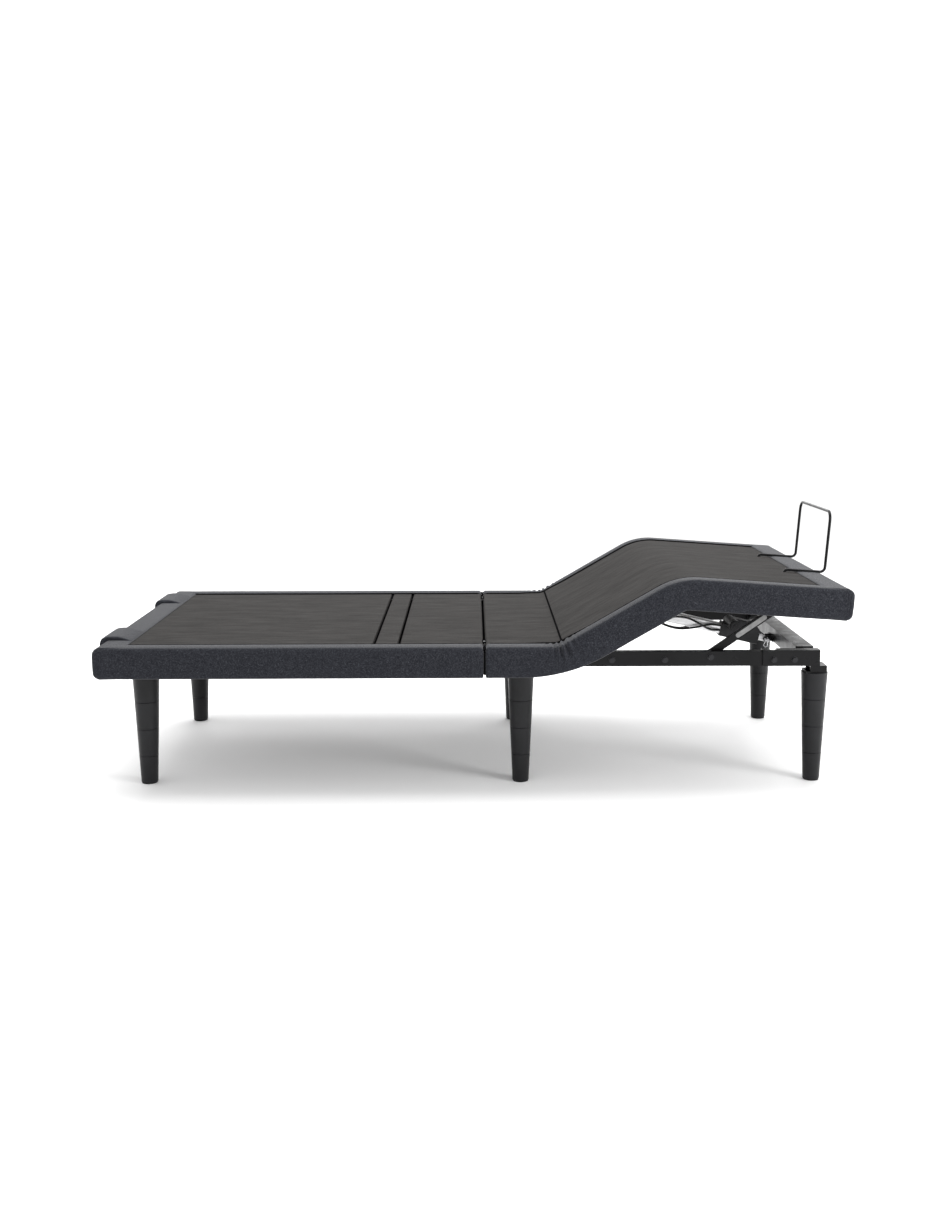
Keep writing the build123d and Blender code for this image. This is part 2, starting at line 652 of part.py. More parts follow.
def cable(points, radii):
    """A round cable along a route of (x, y, z) points, with one bend radius for each corner."""
    route = FilletPolyline(*points, radius=radii)
    return sweep(Plane(route @ 0, z_dir=route % 0) * Circle(CABLE_R), route)


def bend_radii(points):
    """0.45 of the shorter run over the tangent of half the turn, at each corner."""
    radii = []
    for a, b, c in zip(points, points[1:], points[2:]):
        into, out = Vector(*b) - Vector(*a), Vector(*c) - Vector(*b)
        half_turn = radians(into.get_angle(out) / 2)
        radii.append(0.45 * min(into.length, out.length) / tan(half_turn))
    return radii


# Three cables leave the motor's saddle and run beside the housing, two of them sagging under it.
CABLE_ROUTES = (
    [(MOTOR_AT + 28, -19, 10), (MOTOR_AT + 62, -26, 8), (MOTOR_AT + 104, -31, -12),
     (MOTOR_AT + 150, -28, -28), (MOTOR_AT + 200, -26, -25), (MOTOR_AT + 244, -25, -10),
     (MOTOR_AT + 286, -26, 2)],
    [(MOTOR_AT + 28, -19, -4), (MOTOR_AT + 58, -34, -8), (MOTOR_AT + 92, -43, 3),
     (MOTOR_AT + 130, -40, 14), (MOTOR_AT + 168, -35, 9), (MOTOR_AT + 204, -37, -4),
     (MOTOR_AT + 240, -36, -8)],
    [(MOTOR_AT + 28, 19, 10), (MOTOR_AT + 58, 26, 6), (MOTOR_AT + 96, 31, -14), (MOTOR_AT + 138, 27, -33),
     (MOTOR_AT + 186, 25, -32), (MOTOR_AT + 230, 26, -16), (MOTOR_AT + 272, 25, 0)],
)


# ---- retainer bar, boxes, lumbar ----------------------------------------------------------------
def retainer_bar():
    """One bent rod: two hooks down into the foot board, two runs over the end, and the upright loop."""
    z = DECK_TOP + BAR_R + 2
    top = DECK_TOP + BAR_RISE
    route = FilletPolyline(
        (HOOK_X, -BAR_Y, TUBE_LOW + 4), (HOOK_X, -BAR_Y, z), (BAR_X, -BAR_Y, z), (BAR_X, -BAR_Y, top),
        (BAR_X, BAR_Y, top), (BAR_X, BAR_Y, z), (HOOK_X, BAR_Y, z), (HOOK_X, BAR_Y, TUBE_LOW + 4),
        radius=[9, 14, 26, 26, 14, 9],
    )
    return sweep(Plane(route @ 0, z_dir=route % 0) * Circle(BAR_R), route)


def retainer_socket(y, x0, x1):
    """A plate between two calf cross tubes, bored for one hook of the retainer bar."""
    plate = block(x0, x1, y - 14, y + 14, BOARD_LOW - 4, BOARD_LOW)
    plate += rod_z(HOOK_X, y, 8, TUBE_LOW, BOARD_LOW - 4)
    return plate - rod_z(HOOK_X, y, BAR_R + 0.3, TUBE_LOW - 1, BOARD_LOW + 1)


def massage_motor(x, y):
    """Vibration motor in a round housing with a mounting flange, under a board."""
    flange = rod_z(x, y, 56, BOARD_LOW - 4, BOARD_LOW)
    drum = rod_z(x, y, 46, BOARD_LOW - 34, BOARD_LOW - 4)
    drum = fillet(drum.edges().sort_by(Axis.Z)[0], 6)
    return flange + drum


BOX_X = (GAP_X - 88.0, GAP_X + 68.0)
BOX_Y = (-250.0, -120.0)
BOX_Z = (318.0, 358.0)


def control_box():
    """Sealed control box, hung from the centre cross rail by two lugs."""
    shell = block(*BOX_X, *BOX_Y, *BOX_Z)
    shell = fillet(shell.edges().filter_by(Axis.Z), 8)
    for y in (-220, -150):
        shell += block(BOX_X[1] - 2, CENTER_RAIL_X[0], y - 12, y + 12, BOX_Z[1] - 12, BOX_Z[1] - 8)
    return shell


def power_inlet():
    """Mains inlet: a collared socket with three pins in its recess."""
    x, y0, z = BOX_X[0] + 45, BOX_Y[1], sum(BOX_Z) / 2
    collar = block(x - 16, x + 16, y0, y0 + 14, z - 12, z + 12)
    collar -= block(x - 12, x + 12, y0 + 2, y0 + 15, z - 8, z + 8)
    for dx, dz in ((-6, -2), (6, -2), (0, 3)):
        collar += block(x + dx - 1, x + dx + 1, y0 + 2, y0 + 11, z + dz - 2, z + dz + 2)
    return collar


LUMBAR_MID = (SLOT_X[1] + SLOT_X[2]) / 2
LUMBAR_Y = 160.0


def lumbar_actuator():
    """Motor unit under the lumbar strip, on a cradle from the cross tube beside it."""
    low, high = LUMBAR_BOX_Z
    body = block(LUMBAR_MID - 24, LUMBAR_MID + 24, LUMBAR_Y - 45, LUMBAR_Y + 45, low, high)
    body = fillet(body.edges().filter_by(Axis.Z), 7)
    body -= rod_z(LUMBAR_MID, LUMBAR_Y, 7.1, low + 3, high + 1)
    cradle = block(SLOT_X[0] - 26, LUMBAR_MID - 24, LUMBAR_Y - 30, LUMBAR_Y + 30, high - 4, high)
    cradle += block(SLOT_X[0] - 26, SLOT_X[0] - 22, LUMBAR_Y - 30, LUMBAR_Y + 30, high, TUBE_LOW)
    return body + cradle


def lumbar_carrier():
    """Steel channel under the lumbar strip, and the push rod below it."""
    channel = block(LUMBAR_MID - 20, LUMBAR_MID + 20, -390, 390, BOARD_LOW - 8, BOARD_LOW)
    channel -= block(LUMBAR_MID - 18, LUMBAR_MID + 18, -391, 391, BOARD_LOW - 9, BOARD_LOW - 2)
    rod = rod_z(LUMBAR_MID, LUMBAR_Y, 7, LUMBAR_BOX_Z[0] + 4, BOARD_LOW - 2)
    return channel + rod


# ---- assembly -----------------------------------------------------------------------------------
THIGH_CROSSES = [(THIGH_PIVOT[0] + 40, THIGH_PIVOT[0] + 70), (THIGH_PIVOT[0] + 172, THIGH_PIVOT[0] + 208),
                 (KNEE_FLAT[0] - 50, KNEE_FLAT[0] - 22)]
CALF_CROSSES = [(KNEE_FLAT[0] + 22, KNEE_FLAT[0] + 50), (GAP_X + 840, GAP_X + 870),
                (GAP_X + 930, GAP_X + 960)]
HEAD_CROSSES = [(GAP_X - 985, GAP_X - 955), (GAP_X - 620, GAP_X - 590), (SLOT_X[0] - 30, SLOT_X[0] - 4),
                (SLOT_X[3] + 4, SLOT_X[3] + 30), (GAP_X - 50, GAP_X - 20)]
SEAT_CROSSES = [(GAP_X + 14, GAP_X + 40), (SEAT_END - 32, SEAT_END - 6)]


def thigh_pin_plate():
    """The plate under the thigh frame that the foot actuator's fork straddles."""
    x, z = THIGH_PIN_FLAT
    plate = side_plate([(x - 10, z), (x + 10, z), (x + 16, TUBE_LOW), (x - 16, TUBE_LOW)], -4, 4)
    return plate + rod_y(x, z, 10, -4, 4)


def base_nodes():
    near, far = side_rail(), side_rail().mirror(Plane.XZ)
    seat_spacers = mirrored([tube_x(GAP_X + 14, SEAT_END - 6, -RAIL_OUT, -RAIL_IN, RAIL_TOP, BOARD_LOW)])
    seat_tubes = [tube_y(a, b, -RAIL_IN, RAIL_IN, TUBE_LOW, BOARD_LOW) for a, b in SEAT_CROSSES]
    seat = board(GAP_X + BOARD_GAP, SEAT_END)
    for notch in hinge_notches(GAP_X, GAP_X + 50):
        seat -= notch
    skirt = side_skirt(seat_side_view())
    nodes = {
        "side_rail_near": [near],
        "side_rail_far": [far],
        "head_cross_rail": [head_cross_rail()],
        "center_cross_rail": [center_cross_rail()],
        "foot_cross_rail": [foot_cross_rail()],
        "rail_end_sleeves": mirrored([rail_end_sleeve()]),
        "leg_brackets": mirrored([leg_bracket(x) for x in LEG_XS.values()]),
        "leg_studs": leg_studs(),
        "leg_glides": leg_glides(),
        "frame_bolts": frame_bolts(),
        "seat_frame": seat_spacers + seat_tubes,
        "seat_board": [seat],
        "seat_skirt_near": [skirt],
        "seat_skirt_far": [skirt.mirror(Plane.XZ)],
        "hinge_brackets": mirrored([seat_hinge_ear()]),
        "hinge_pins": hinge_pins(),
        "actuator_brackets": [
            *actuator_bracket(FOOT_ANCHOR, FOOT_RAIL_X[0], (RAIL_BOTTOM, FOOT_RAIL_TOP)),
            *actuator_bracket(HEAD_ANCHOR, HEAD_RAIL_X[1], (RAIL_BOTTOM, FOOT_RAIL_TOP)),
        ],
        "clevis_pins": clevis_pin(FOOT_ANCHOR) + clevis_pin(HEAD_ANCHOR),
        "control_box": [control_box()],
        "power_inlet": [power_inlet()],
    }
    for name, x in LEG_XS.items():
        nodes[f"{name}_legs"] = leg(x, -1) + leg(x, 1)
    return nodes


def head_nodes():
    upper = board(HEAD_END + END_BORDER, SLOT_X[0])
    lower = board(SLOT_X[3], GAP_X - BOARD_GAP)
    for notch in hinge_notches(GAP_X - 55, GAP_X + 1):
        lower -= notch
    skirt = side_skirt(head_side_view(), corner=HEAD_END)
    frame = deck_frame(GAP_X - 985, GAP_X - 20, HEAD_CROSSES) + roller_tracks(GAP_X - 590, SLOT_X[0] - 30)
    return {
        "head_board": [upper],
        "lower_back_board": [lower],
        "head_frame": frame + mirrored([head_hinge_ear()]),
        "head_skirt_near": [skirt],
        "head_skirt_far": [skirt.mirror(Plane.XZ)],
        "head_skirt_end": [end_skirt(HEAD_END, 1)],
        "head_end_loops": mirrored([head_end_loop(-372, -228)]),
        "head_massage_motor": [massage_motor(GAP_X - 760, -165)],
        "lumbar_actuator": [lumbar_actuator()],
        "lumbar_board": [board(SLOT_X[1], SLOT_X[2], BOARD_Y - 6)],
        "lumbar_carrier": [lumbar_carrier()],
        "head_lifter": head_lifter(),
        "head_lifter_rollers": rollers(HEAD_ROLLER),
    }


def thigh_nodes():
    px, pz = THIGH_PIVOT
    cut = px + 2 + (BOARD_TOP - pz) * tan(BEVEL_SEAT)
    skirt = side_skirt(thigh_side_view())
    ears = mirrored([thigh_hinge_ear(), knee_ear(-1, [-y for y in reversed(KNEE_THIGH_EAR_Y)], PIN_R)])
    frame = deck_frame(px + 40, KNEE_FLAT[0] - 22, THIGH_CROSSES)
    return {
        "thigh_board": [board(cut, KNEE_FLAT[0] - KNEE_BOARD_GAP)],
        "thigh_frame": frame + [thigh_pin_plate(), *ears],
        "thigh_skirt_near": [skirt],
        "thigh_skirt_far": [skirt.mirror(Plane.XZ)],
        "knee_pins": mirrored([rod_y(*KNEE_FLAT, PIN_R, -400, -383)]),
    }


def calf_nodes():
    panel = board(KNEE_FLAT[0] + KNEE_BOARD_GAP, FOOT_END - END_BORDER)
    for y in (-BAR_Y, BAR_Y):
        panel -= rod_z(HOOK_X, y, BAR_R + 0.6, BOARD_LOW - 1, BOARD_TOP + 1)
    skirt = side_skirt(calf_side_view(), corner=FOOT_END)
    ears = mirrored([knee_ear(1, [-y for y in reversed(KNEE_CALF_EAR_Y)], PIN_R + PIN_CLEAR)])
    frame = deck_frame(KNEE_FLAT[0] + 22, GAP_X + 985, CALF_CROSSES) + roller_tracks(GAP_X + 870, GAP_X + 930)
    return {
        "calf_board": [panel],
        "calf_frame": frame + ears,
        "calf_skirt_near": [skirt],
        "calf_skirt_far": [skirt.mirror(Plane.XZ)],
        "calf_skirt_end": [end_skirt(FOOT_END, -1)],
        "retainer_bar": [retainer_bar()],
        "retainer_sockets": [retainer_socket(y, GAP_X + 870, GAP_X + 930) for y in (-BAR_Y, BAR_Y)],
        "foot_massage_motor": [massage_motor(GAP_X + 735, 165)],
    }


HEAD_HOUSING = 520.0
FOOT_HOUSING = 370.0


def actuator_nodes():
    """Both actuators, each housing and rod in place along its own line."""
    nodes = {}
    for name, anchor, tip, housing in (
        ("head", HEAD_ANCHOR, LEVER_TIP, HEAD_HOUSING),
        ("foot", FOOT_ANCHOR, THIGH_PIN_REST, FOOT_HOUSING),
    ):
        lay = on_line(anchor, tip)
        reach = hypot(tip[0] - anchor[0], tip[1] - anchor[1])
        upright = flipped if tip[0] < anchor[0] else as_drawn
        nodes[f"{name}_actuator_housing"] = [lay(s) for s in actuator_housing(housing)]
        nodes[f"{name}_actuator_motor"] = [lay(upright(s)) for s in actuator_motor()]
        nodes[f"{name}_actuator_rod"] = [lay(s) for s in actuator_rod(reach, housing)]
    lay = on_line(FOOT_ANCHOR, THIGH_PIN_REST)
    cables = [cable(points, bend_radii(points)) for points in CABLE_ROUTES]
    nodes["foot_motor_cables"] = [lay(flipped(s)) for s in cables]
    return nodes


def main():
    os.makedirs("parts", exist_ok=True)
    for name, shapes in {**base_nodes(), **head_nodes(), **actuator_nodes()}.items():
        save(name, shapes)
    for name, shapes in thigh_nodes().items():
        save(name, shapes, as_thigh)
    for name, shapes in calf_nodes().items():
        save(name, shapes, as_calf)
    save("calf_link_rollers", rollers(LINK_ROLLER_REST))
    save("calf_links", mirrored(calf_link()))
    save("calf_link_labels", mirrored([link_label()]))
    for points in CABLE_ROUTES:
        print("cable bend radii", [round(r, 1) for r in bend_radii(points)])


main()
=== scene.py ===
import json
from math import cos, exp, hypot, pi, radians, sin, tan

import bpy
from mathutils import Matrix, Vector, noise


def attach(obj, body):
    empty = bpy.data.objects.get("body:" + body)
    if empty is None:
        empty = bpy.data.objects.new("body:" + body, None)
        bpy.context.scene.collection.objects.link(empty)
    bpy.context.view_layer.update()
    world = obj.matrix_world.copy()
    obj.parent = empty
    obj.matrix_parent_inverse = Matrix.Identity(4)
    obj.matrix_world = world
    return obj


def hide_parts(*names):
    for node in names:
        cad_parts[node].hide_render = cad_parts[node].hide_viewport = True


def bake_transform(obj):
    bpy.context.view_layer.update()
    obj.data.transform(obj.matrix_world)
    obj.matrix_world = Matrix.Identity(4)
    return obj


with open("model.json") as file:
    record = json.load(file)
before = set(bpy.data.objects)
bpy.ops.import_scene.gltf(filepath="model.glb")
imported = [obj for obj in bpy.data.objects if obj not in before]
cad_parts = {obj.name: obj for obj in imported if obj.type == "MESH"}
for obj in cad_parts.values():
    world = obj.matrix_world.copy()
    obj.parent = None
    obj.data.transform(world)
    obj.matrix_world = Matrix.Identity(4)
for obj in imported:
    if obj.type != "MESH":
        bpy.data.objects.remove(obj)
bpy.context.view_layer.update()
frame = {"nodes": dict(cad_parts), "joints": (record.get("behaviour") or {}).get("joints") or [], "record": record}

# ---- places, in metres, from the frame -----------------------------------------------------------
JOINTS = {j["name"]: j for j in frame["joints"]}
GAP_X, _, PIVOT_Z = JOINTS["head_lift"]["pos_m"]
THIGH = (JOINTS["thigh_lift"]["pos_m"][0], JOINTS["thigh_lift"]["pos_m"][2])
THIGH_TURN = radians(30)
KNEE_TURN = radians(-34)
KNEE_FLAT = (GAP_X + 0.5757, 0.3553)  # the knee with the deck flat

HALF = 0.4825  # half of the deck's width
HALF_LENGTH = 1.016
TOP = 0.400
LOW = 0.320
HEAD_END = GAP_X - HALF_LENGTH
HEAD_FACE = HEAD_END - 0.004  # the padding stands proud of the deck's ends
FOOT_FACE = GAP_X + HALF_LENGTH + 0.006
MID_THIGH = GAP_X + 0.410

PANEL_Z = 0.3990  # height of the deck cloths
PANEL_Y = 0.4265  # and half of their width
LUMBAR_Y = 0.4215  # half of the lumbar strip's width
BORDER = 0.0582  # width of the padded border on top, at the sides and at the ends
END_BORDER = 0.078
CORNER = 0.011  # radius of the deck's corners, seen from above
GAP = 0.0042  # half of the gap between the head and seat sections
GAP_ROUND = 0.007  # the skirts' tops are rounded over this length beside the gap
FOLD_SEAM = THIGH[0] + 0.013
SLOTS = (GAP_X - 0.299, GAP_X - 0.289, GAP_X - 0.233, GAP_X - 0.223)  # edges of the two lumbar slots
SIDES = ((-1, "near"), (1, "far"))


def lerp(a, b, t):
    """From a to b as t goes from 0 to 1."""
    return a + (b - a) * t


def bell(distance, width, power=2):
    """1 at distance 0, falling off to both sides over a width."""
    return exp(-((distance / width) ** power))


# ---- the bent deck: flat places to places in the stored pose --------------------------------------
def turned(x, z, pivot, angle):
    """A point turned about a pivot."""
    dx, dz = x - pivot[0], z - pivot[1]
    return pivot[0] + dx * cos(angle) - dz * sin(angle), pivot[1] + dx * sin(angle) + dz * cos(angle)


def fold(q, h, angle, tangent, reach):
    """A point q along a layer h above a hinge, on a path of line, arc and line that turns by angle."""
    straight = reach - h * tan(angle / 2) - tangent
    radius = tangent / tan(abs(angle) / 2)
    bend = radius * abs(angle)
    s = (q + reach) / (2 * reach) * (2 * straight + bend)
    if s < straight:
        return -reach + s, h
    if s < straight + bend:
        turn = (s - straight) / radius
        up = 1 if angle > 0 else -1
        return -reach + straight + radius * sin(turn), h + up * radius * (1 - cos(turn))
    t = reach - (2 * straight + bend - s)
    return t * cos(angle) - h * sin(angle), t * sin(angle) + h * cos(angle)


THIGH_REACH = 0.130
KNEE_REACH = 0.090
# How far from the corner each bend's arc starts: at the skirt's lower edge, and on top of the deck.
THIGH_TANGENT = (0.118, 0.013)
KNEE_TANGENT = (0.006, 0.058)


def rest(x, z):
    """Where a point of the flat deck, from the seat to the foot end, is in the stored pose."""
    share = min(max((z - LOW) / (TOP - LOW), 0), 1)
    q = x - KNEE_FLAT[0]
    xf, zf = x, z
    if q > KNEE_REACH:
        xf, zf = turned(x, z, KNEE_FLAT, KNEE_TURN)
    elif q > -KNEE_REACH:
        dx, dz = fold(q, z - KNEE_FLAT[1], KNEE_TURN, lerp(*KNEE_TANGENT, share), KNEE_REACH)
        xf, zf = KNEE_FLAT[0] + dx, KNEE_FLAT[1] + dz
    q = x - THIGH[0]
    if q > THIGH_REACH:
        return turned(xf, zf, THIGH, THIGH_TURN)
    if q > -THIGH_REACH:
        dx, dz = fold(q, z - THIGH[1], THIGH_TURN, lerp(*THIGH_TANGENT, share), THIGH_REACH)
        return THIGH[0] + dx, THIGH[1] + dz
    return x, z


def flat(x, z):
    """The same for a section that is drawn as it lies."""
    return x, z


# ---- mesh helpers -------------------------------------------------------------------------------
def mesh_object(name, points, faces):
    """A smooth-shaded object from points and faces."""
    mesh = bpy.data.meshes.new(name)
    mesh.from_pydata([tuple(p) for p in points], [], faces)
    mesh.validate()
    mesh.polygons.foreach_set("use_smooth", [True] * len(mesh.polygons))
    obj = bpy.data.objects.new(name, mesh)
    bpy.context.scene.collection.objects.link(obj)
    return obj


def grid(name, rows):
    """An open sheet through rows of points."""
    n = len(rows[0])
    faces = [
        (r * n + c, (r + 1) * n + c, (r + 1) * n + c + 1, r * n + c + 1)
        for r in range(len(rows) - 1)
        for c in range(n - 1)
    ]
    return mesh_object(name, [p for row in rows for p in row], faces)


def tube(name, rings, caps=(True, True)):
    """A closed section carried through rings of points, with or without a cap at each end."""
    n = len(rings[0])
    faces = [
        (r * n + c, r * n + (c + 1) % n, (r + 1) * n + (c + 1) % n, (r + 1) * n + c)
        for r in range(len(rings) - 1)
        for c in range(n)
    ]
    if caps[0]:
        faces.append(tuple(range(n))[::-1])
    if caps[1]:
        last = (len(rings) - 1) * n
        faces.append(tuple(range(last, last + n)))
    return mesh_object(name, [p for ring in rings for p in ring], faces)


def smooth_loop(points, steps=3):
    """A closed outline rounded through its points."""
    out = []
    n = len(points)
    for i in range(n):
        a, b, c, d = (Vector(points[(i + k) % n]) for k in (-1, 0, 1, 2))
        for s in range(steps):
            t = s / steps
            square, cube = (2 * a - 5 * b + 4 * c - d) * t * t, (3 * b - a - 3 * c + d) * t ** 3
            out.append(0.5 * (2 * b + (c - a) * t + square + cube))
    return out


def spread(a, b, step):
    """Evenly spaced values from a to b."""
    n = max(1, round(abs(b - a) / step))
    return [a + (b - a) * i / n for i in range(n + 1)]


def spread_fine(a, b, middle, reach, step, fine):
    """Values from a to b, closer together within reach of middle."""
    low, high = middle - reach, middle + reach
    return spread(a, low, step)[:-1] + spread(low, high, fine)[:-1] + spread(high, b, step)


# ---- padded skirts ------------------------------------------------------------------------------
# The skirt's section: distance in from the outer face and height, in millimetres.
SECTION = smooth_loop(
    [
        (4.6, 321.6), (1.2, 326.0), (-0.6, 334.0), (-1.6, 350.0), (-1.7, 372.0), (-1.0, 390.0),
        (1.2, 397.4), (5.6, 401.6), (14.0, 403.2), (30.0, 403.8), (46.0, 403.4), (54.0, 402.4),
        (57.6, 401.0), (58.2, 399.6), (54.4, 399.0), (54.2, 394.0), (53.4, 388.0), (34.0, 386.4),
        (25.6, 383.0), (24.6, 370.0), (24.2, 340.0), (22.0, 323.0), (12.0, 319.6),
    ]
)
WALL = 0.024  # the part of the section that stays the same where the border on top is wider
OUTER = 0.030  # unevenness, stitching and gathers fade out over this distance in from the outer face
INNER_RIPPLE = 0.35  # share of the unevenness that is left beyond it
CREST = 0.403  # height of the border's top

GATHER_DEPTH = 0.0066
GATHER_REACH = 0.040
GATHER_Z = (0.342, 0.400)  # the gathers deepen between these heights
GATHER_FAN = 10.0  # and spread apart below the crest, as a share for each metre
GATHER_WAVE = 340.0  # radians for each metre
GATHER_DRIFT = (0.8, 3.4, 1.0)  # size, slowness and start of the unevenness in their spacing
GATHER_RISE = 0.4  # share of a gather's depth by which it stands up on top of the border


def pucker(x, z):
    """How far the cover stands out where it gathers beside the seat's fold."""
    q = x - FOLD_SEAM
    high = min(max((z - GATHER_Z[0]) / (GATHER_Z[1] - GATHER_Z[0]), 0), 1)
    turn = q * GATHER_WAVE / (1.0 + GATHER_FAN * (CREST - z))
    drift, slow, start = GATHER_DRIFT
    line = cos(turn + drift * sin(turn / slow + start))
    return GATHER_DEPTH * high * bell(q, GATHER_REACH) * line


# Depth of the cloth's unevenness, its bumps for each metre along and up, and the sense of its seed.
RIPPLES = ((0.0009, 5.5, 9, 1), (0.0004, 19, 24, -1))


def ripple(x, y, z, seed):
    """Slow unevenness of cloth over foam."""
    return sum(
        depth * noise.noise(Vector((x * wide, y * wide + sense * seed, z * high)))
        for depth, wide, high, sense in RIPPLES
    )


STITCH_ROWS = (0.0135, 0.0200)  # distances from the end's face
STITCH_DEPTH = 0.0018
STITCH_WIDTH = 0.0010


def topstitch(x, x_end):
    """Depth of the two rows of stitching beside the end's corner."""
    return sum(STITCH_DEPTH * bell(abs(x_end - x) - row, STITCH_WIDTH) for row in STITCH_ROWS)


FACE = 0.012  # only points this near to the outer face are drawn in at an end's corners
LOWER_CORNER = (0.016, 0.016, 0.007)  # where the rounding starts, its height, how far it goes in
UPPER_CORNER = (0.015, 0.017, 0.006)
GAP_CORNER = (0.012, 0.0158, 0.0048)  # the same at the gap, where the top goes down instead
GAP_IN = 0.0025  # and the outer face goes in


def rounded(i, z, end, gap):
    """A section's point where the skirt turns an end of the deck, or stops at the hinge's gap."""
    start, height, depth = LOWER_CORNER
    if i < FACE and z < LOW + start:
        i += end * depth * ((LOW + start - z) / height) ** 2
    start, height, depth = UPPER_CORNER
    if i < FACE and z > TOP - start:
        i += end * depth * ((z - TOP + start) / height) ** 2
    start, height, depth = GAP_CORNER
    if z > TOP - start:
        z -= gap * depth * (z - TOP + start) / height
    if i < 0.020:
        i += gap * GAP_IN
    return i, z


def drawn_in(i, z, amount):
    """A section's point drawn towards the middle of the wall or of the border, to close an end."""
    i += (0.028 - i) * amount
    return i, z + ((0.36 if i < 0.03 else 0.394) - z) * amount


def skirt_ring(station, place, seed, shrink=0.0, gathers=False):
    """The section at one station: outer point, unit vector inwards, width, groove, nearness to the gap."""
    x, y, ux, uy, width, groove, gap = station
    ring = []
    for inward, height in SECTION:
        i, z = rounded(inward / 1000, height / 1000, abs(ux), gap)
        if i > WALL:
            i = WALL + (i - WALL) * (width - WALL) / (BORDER - WALL)
        if shrink:
            i, z = drawn_in(i, z, shrink)
        outer = max(0.0, 1 - max(i, 0) / OUTER)
        out = ripple(x + ux * i, y + uy * i, z, seed) * (INNER_RIPPLE + outer) - groove * outer
        rise = 0.0
        if gathers:
            gather = pucker(x, z)
            out += gather * outer
            rise = GATHER_RISE * gather if z > TOP + 0.001 else 0.0
        px, pz = place(x + ux * (i - out), z + rise)
        ring.append((px, y + uy * (i - out), pz))
    return ring


def gap_ease(x):
    """1 at the head hinge's gap, falling to 0 where the skirt has its full height."""
    beyond = max(0.0, abs(x - GAP_X) - GAP)
    return max(0.0, 1 - beyond / GAP_ROUND) ** 2


EASED = GAP_ROUND + 0.002  # stations are closer together this near to the gap
STITCHED = 0.0235  # and this near to an end


def plan(x0, x_end):
    """Stations around a U-shaped skirt: near side, end and far side, mitred at the corners."""
    way = 1 if x_end > x0 else -1
    turn_x = x_end - way * CORNER
    stitched = x_end - way * STITCHED
    eased = x0 + way * EASED
    xs = spread(x0, eased, 0.002)[:-1] + spread(eased, stitched, 0.008)[:-1]
    side = [(x, -HALF) for x in xs + spread(stitched, turn_x, 0.0008)]
    arc = [
        (turn_x + way * CORNER * sin(a), -HALF + CORNER - CORNER * cos(a))
        for a in spread(0, pi / 2, 0.2)[1:]
    ]
    end = [(x_end, y) for y in spread(-HALF + CORNER, -HALF + BORDER, 0.006)[1:]]
    end += [(x_end, y) for y in spread(-HALF + BORDER, 0, 0.014)[1:]]
    inner_x, inner_y = x_end - way * END_BORDER, -HALF + BORDER
    half = []
    for x, y in side + arc + end:
        to = Vector((min(x * way, inner_x * way) * way - x, max(y, inner_y) - y))
        groove = topstitch(x, x_end) if y < -HALF + 1e-6 else 0.0
        half.append((x, y, to.x / to.length, to.y / to.length, to.length, groove, gap_ease(x)))
    far = [(x, -y, ux, -uy, *others) for x, y, ux, uy, *others in half[-2::-1]]
    return half + far


# How far past its end a closed skirt's last sections are, and by how much each is drawn in.
CAP = ((0.0016, 0.34), (0.0014, 0.16), (0.0009, 0.05))


def u_skirt(name, x0, x_end, place, seed, caps):
    """A skirt around one end of the deck, closed at the gap or left open at the middle of the thigh."""
    stations = plan(x0, x_end)
    rings = [skirt_ring(station, place, seed) for station in stations]
    if caps:
        way = 1 if x_end > x0 else -1
        for deep, amount in reversed(CAP):
            first, last = ((x - way * deep, *others) for x, *others in (stations[0], stations[-1]))
            rings.insert(0, skirt_ring(first, place, seed, amount))
            rings.append(skirt_ring(last, place, seed, amount))
    return tube(name, rings, (caps, caps))


def side_skirt(name, side, x0, x1, place, seed):
    """A straight skirt on one side, rounded at its head end and left open at its foot end."""
    across = (side * HALF, 0.0, -side, BORDER, 0.0)
    rings = [skirt_ring((x0 - deep, *across, 1.0), place, seed, amount) for deep, amount in CAP]
    eased = x0 + EASED
    xs = spread_fine(eased, x1, middle=FOLD_SEAM, reach=0.085, step=0.006, fine=0.0022)
    for x in spread(x0, eased, 0.002)[:-1] + xs:
        rings.append(skirt_ring((x, *across, gap_ease(x)), place, seed, gathers=True))
    return tube(name, rings, (True, False))


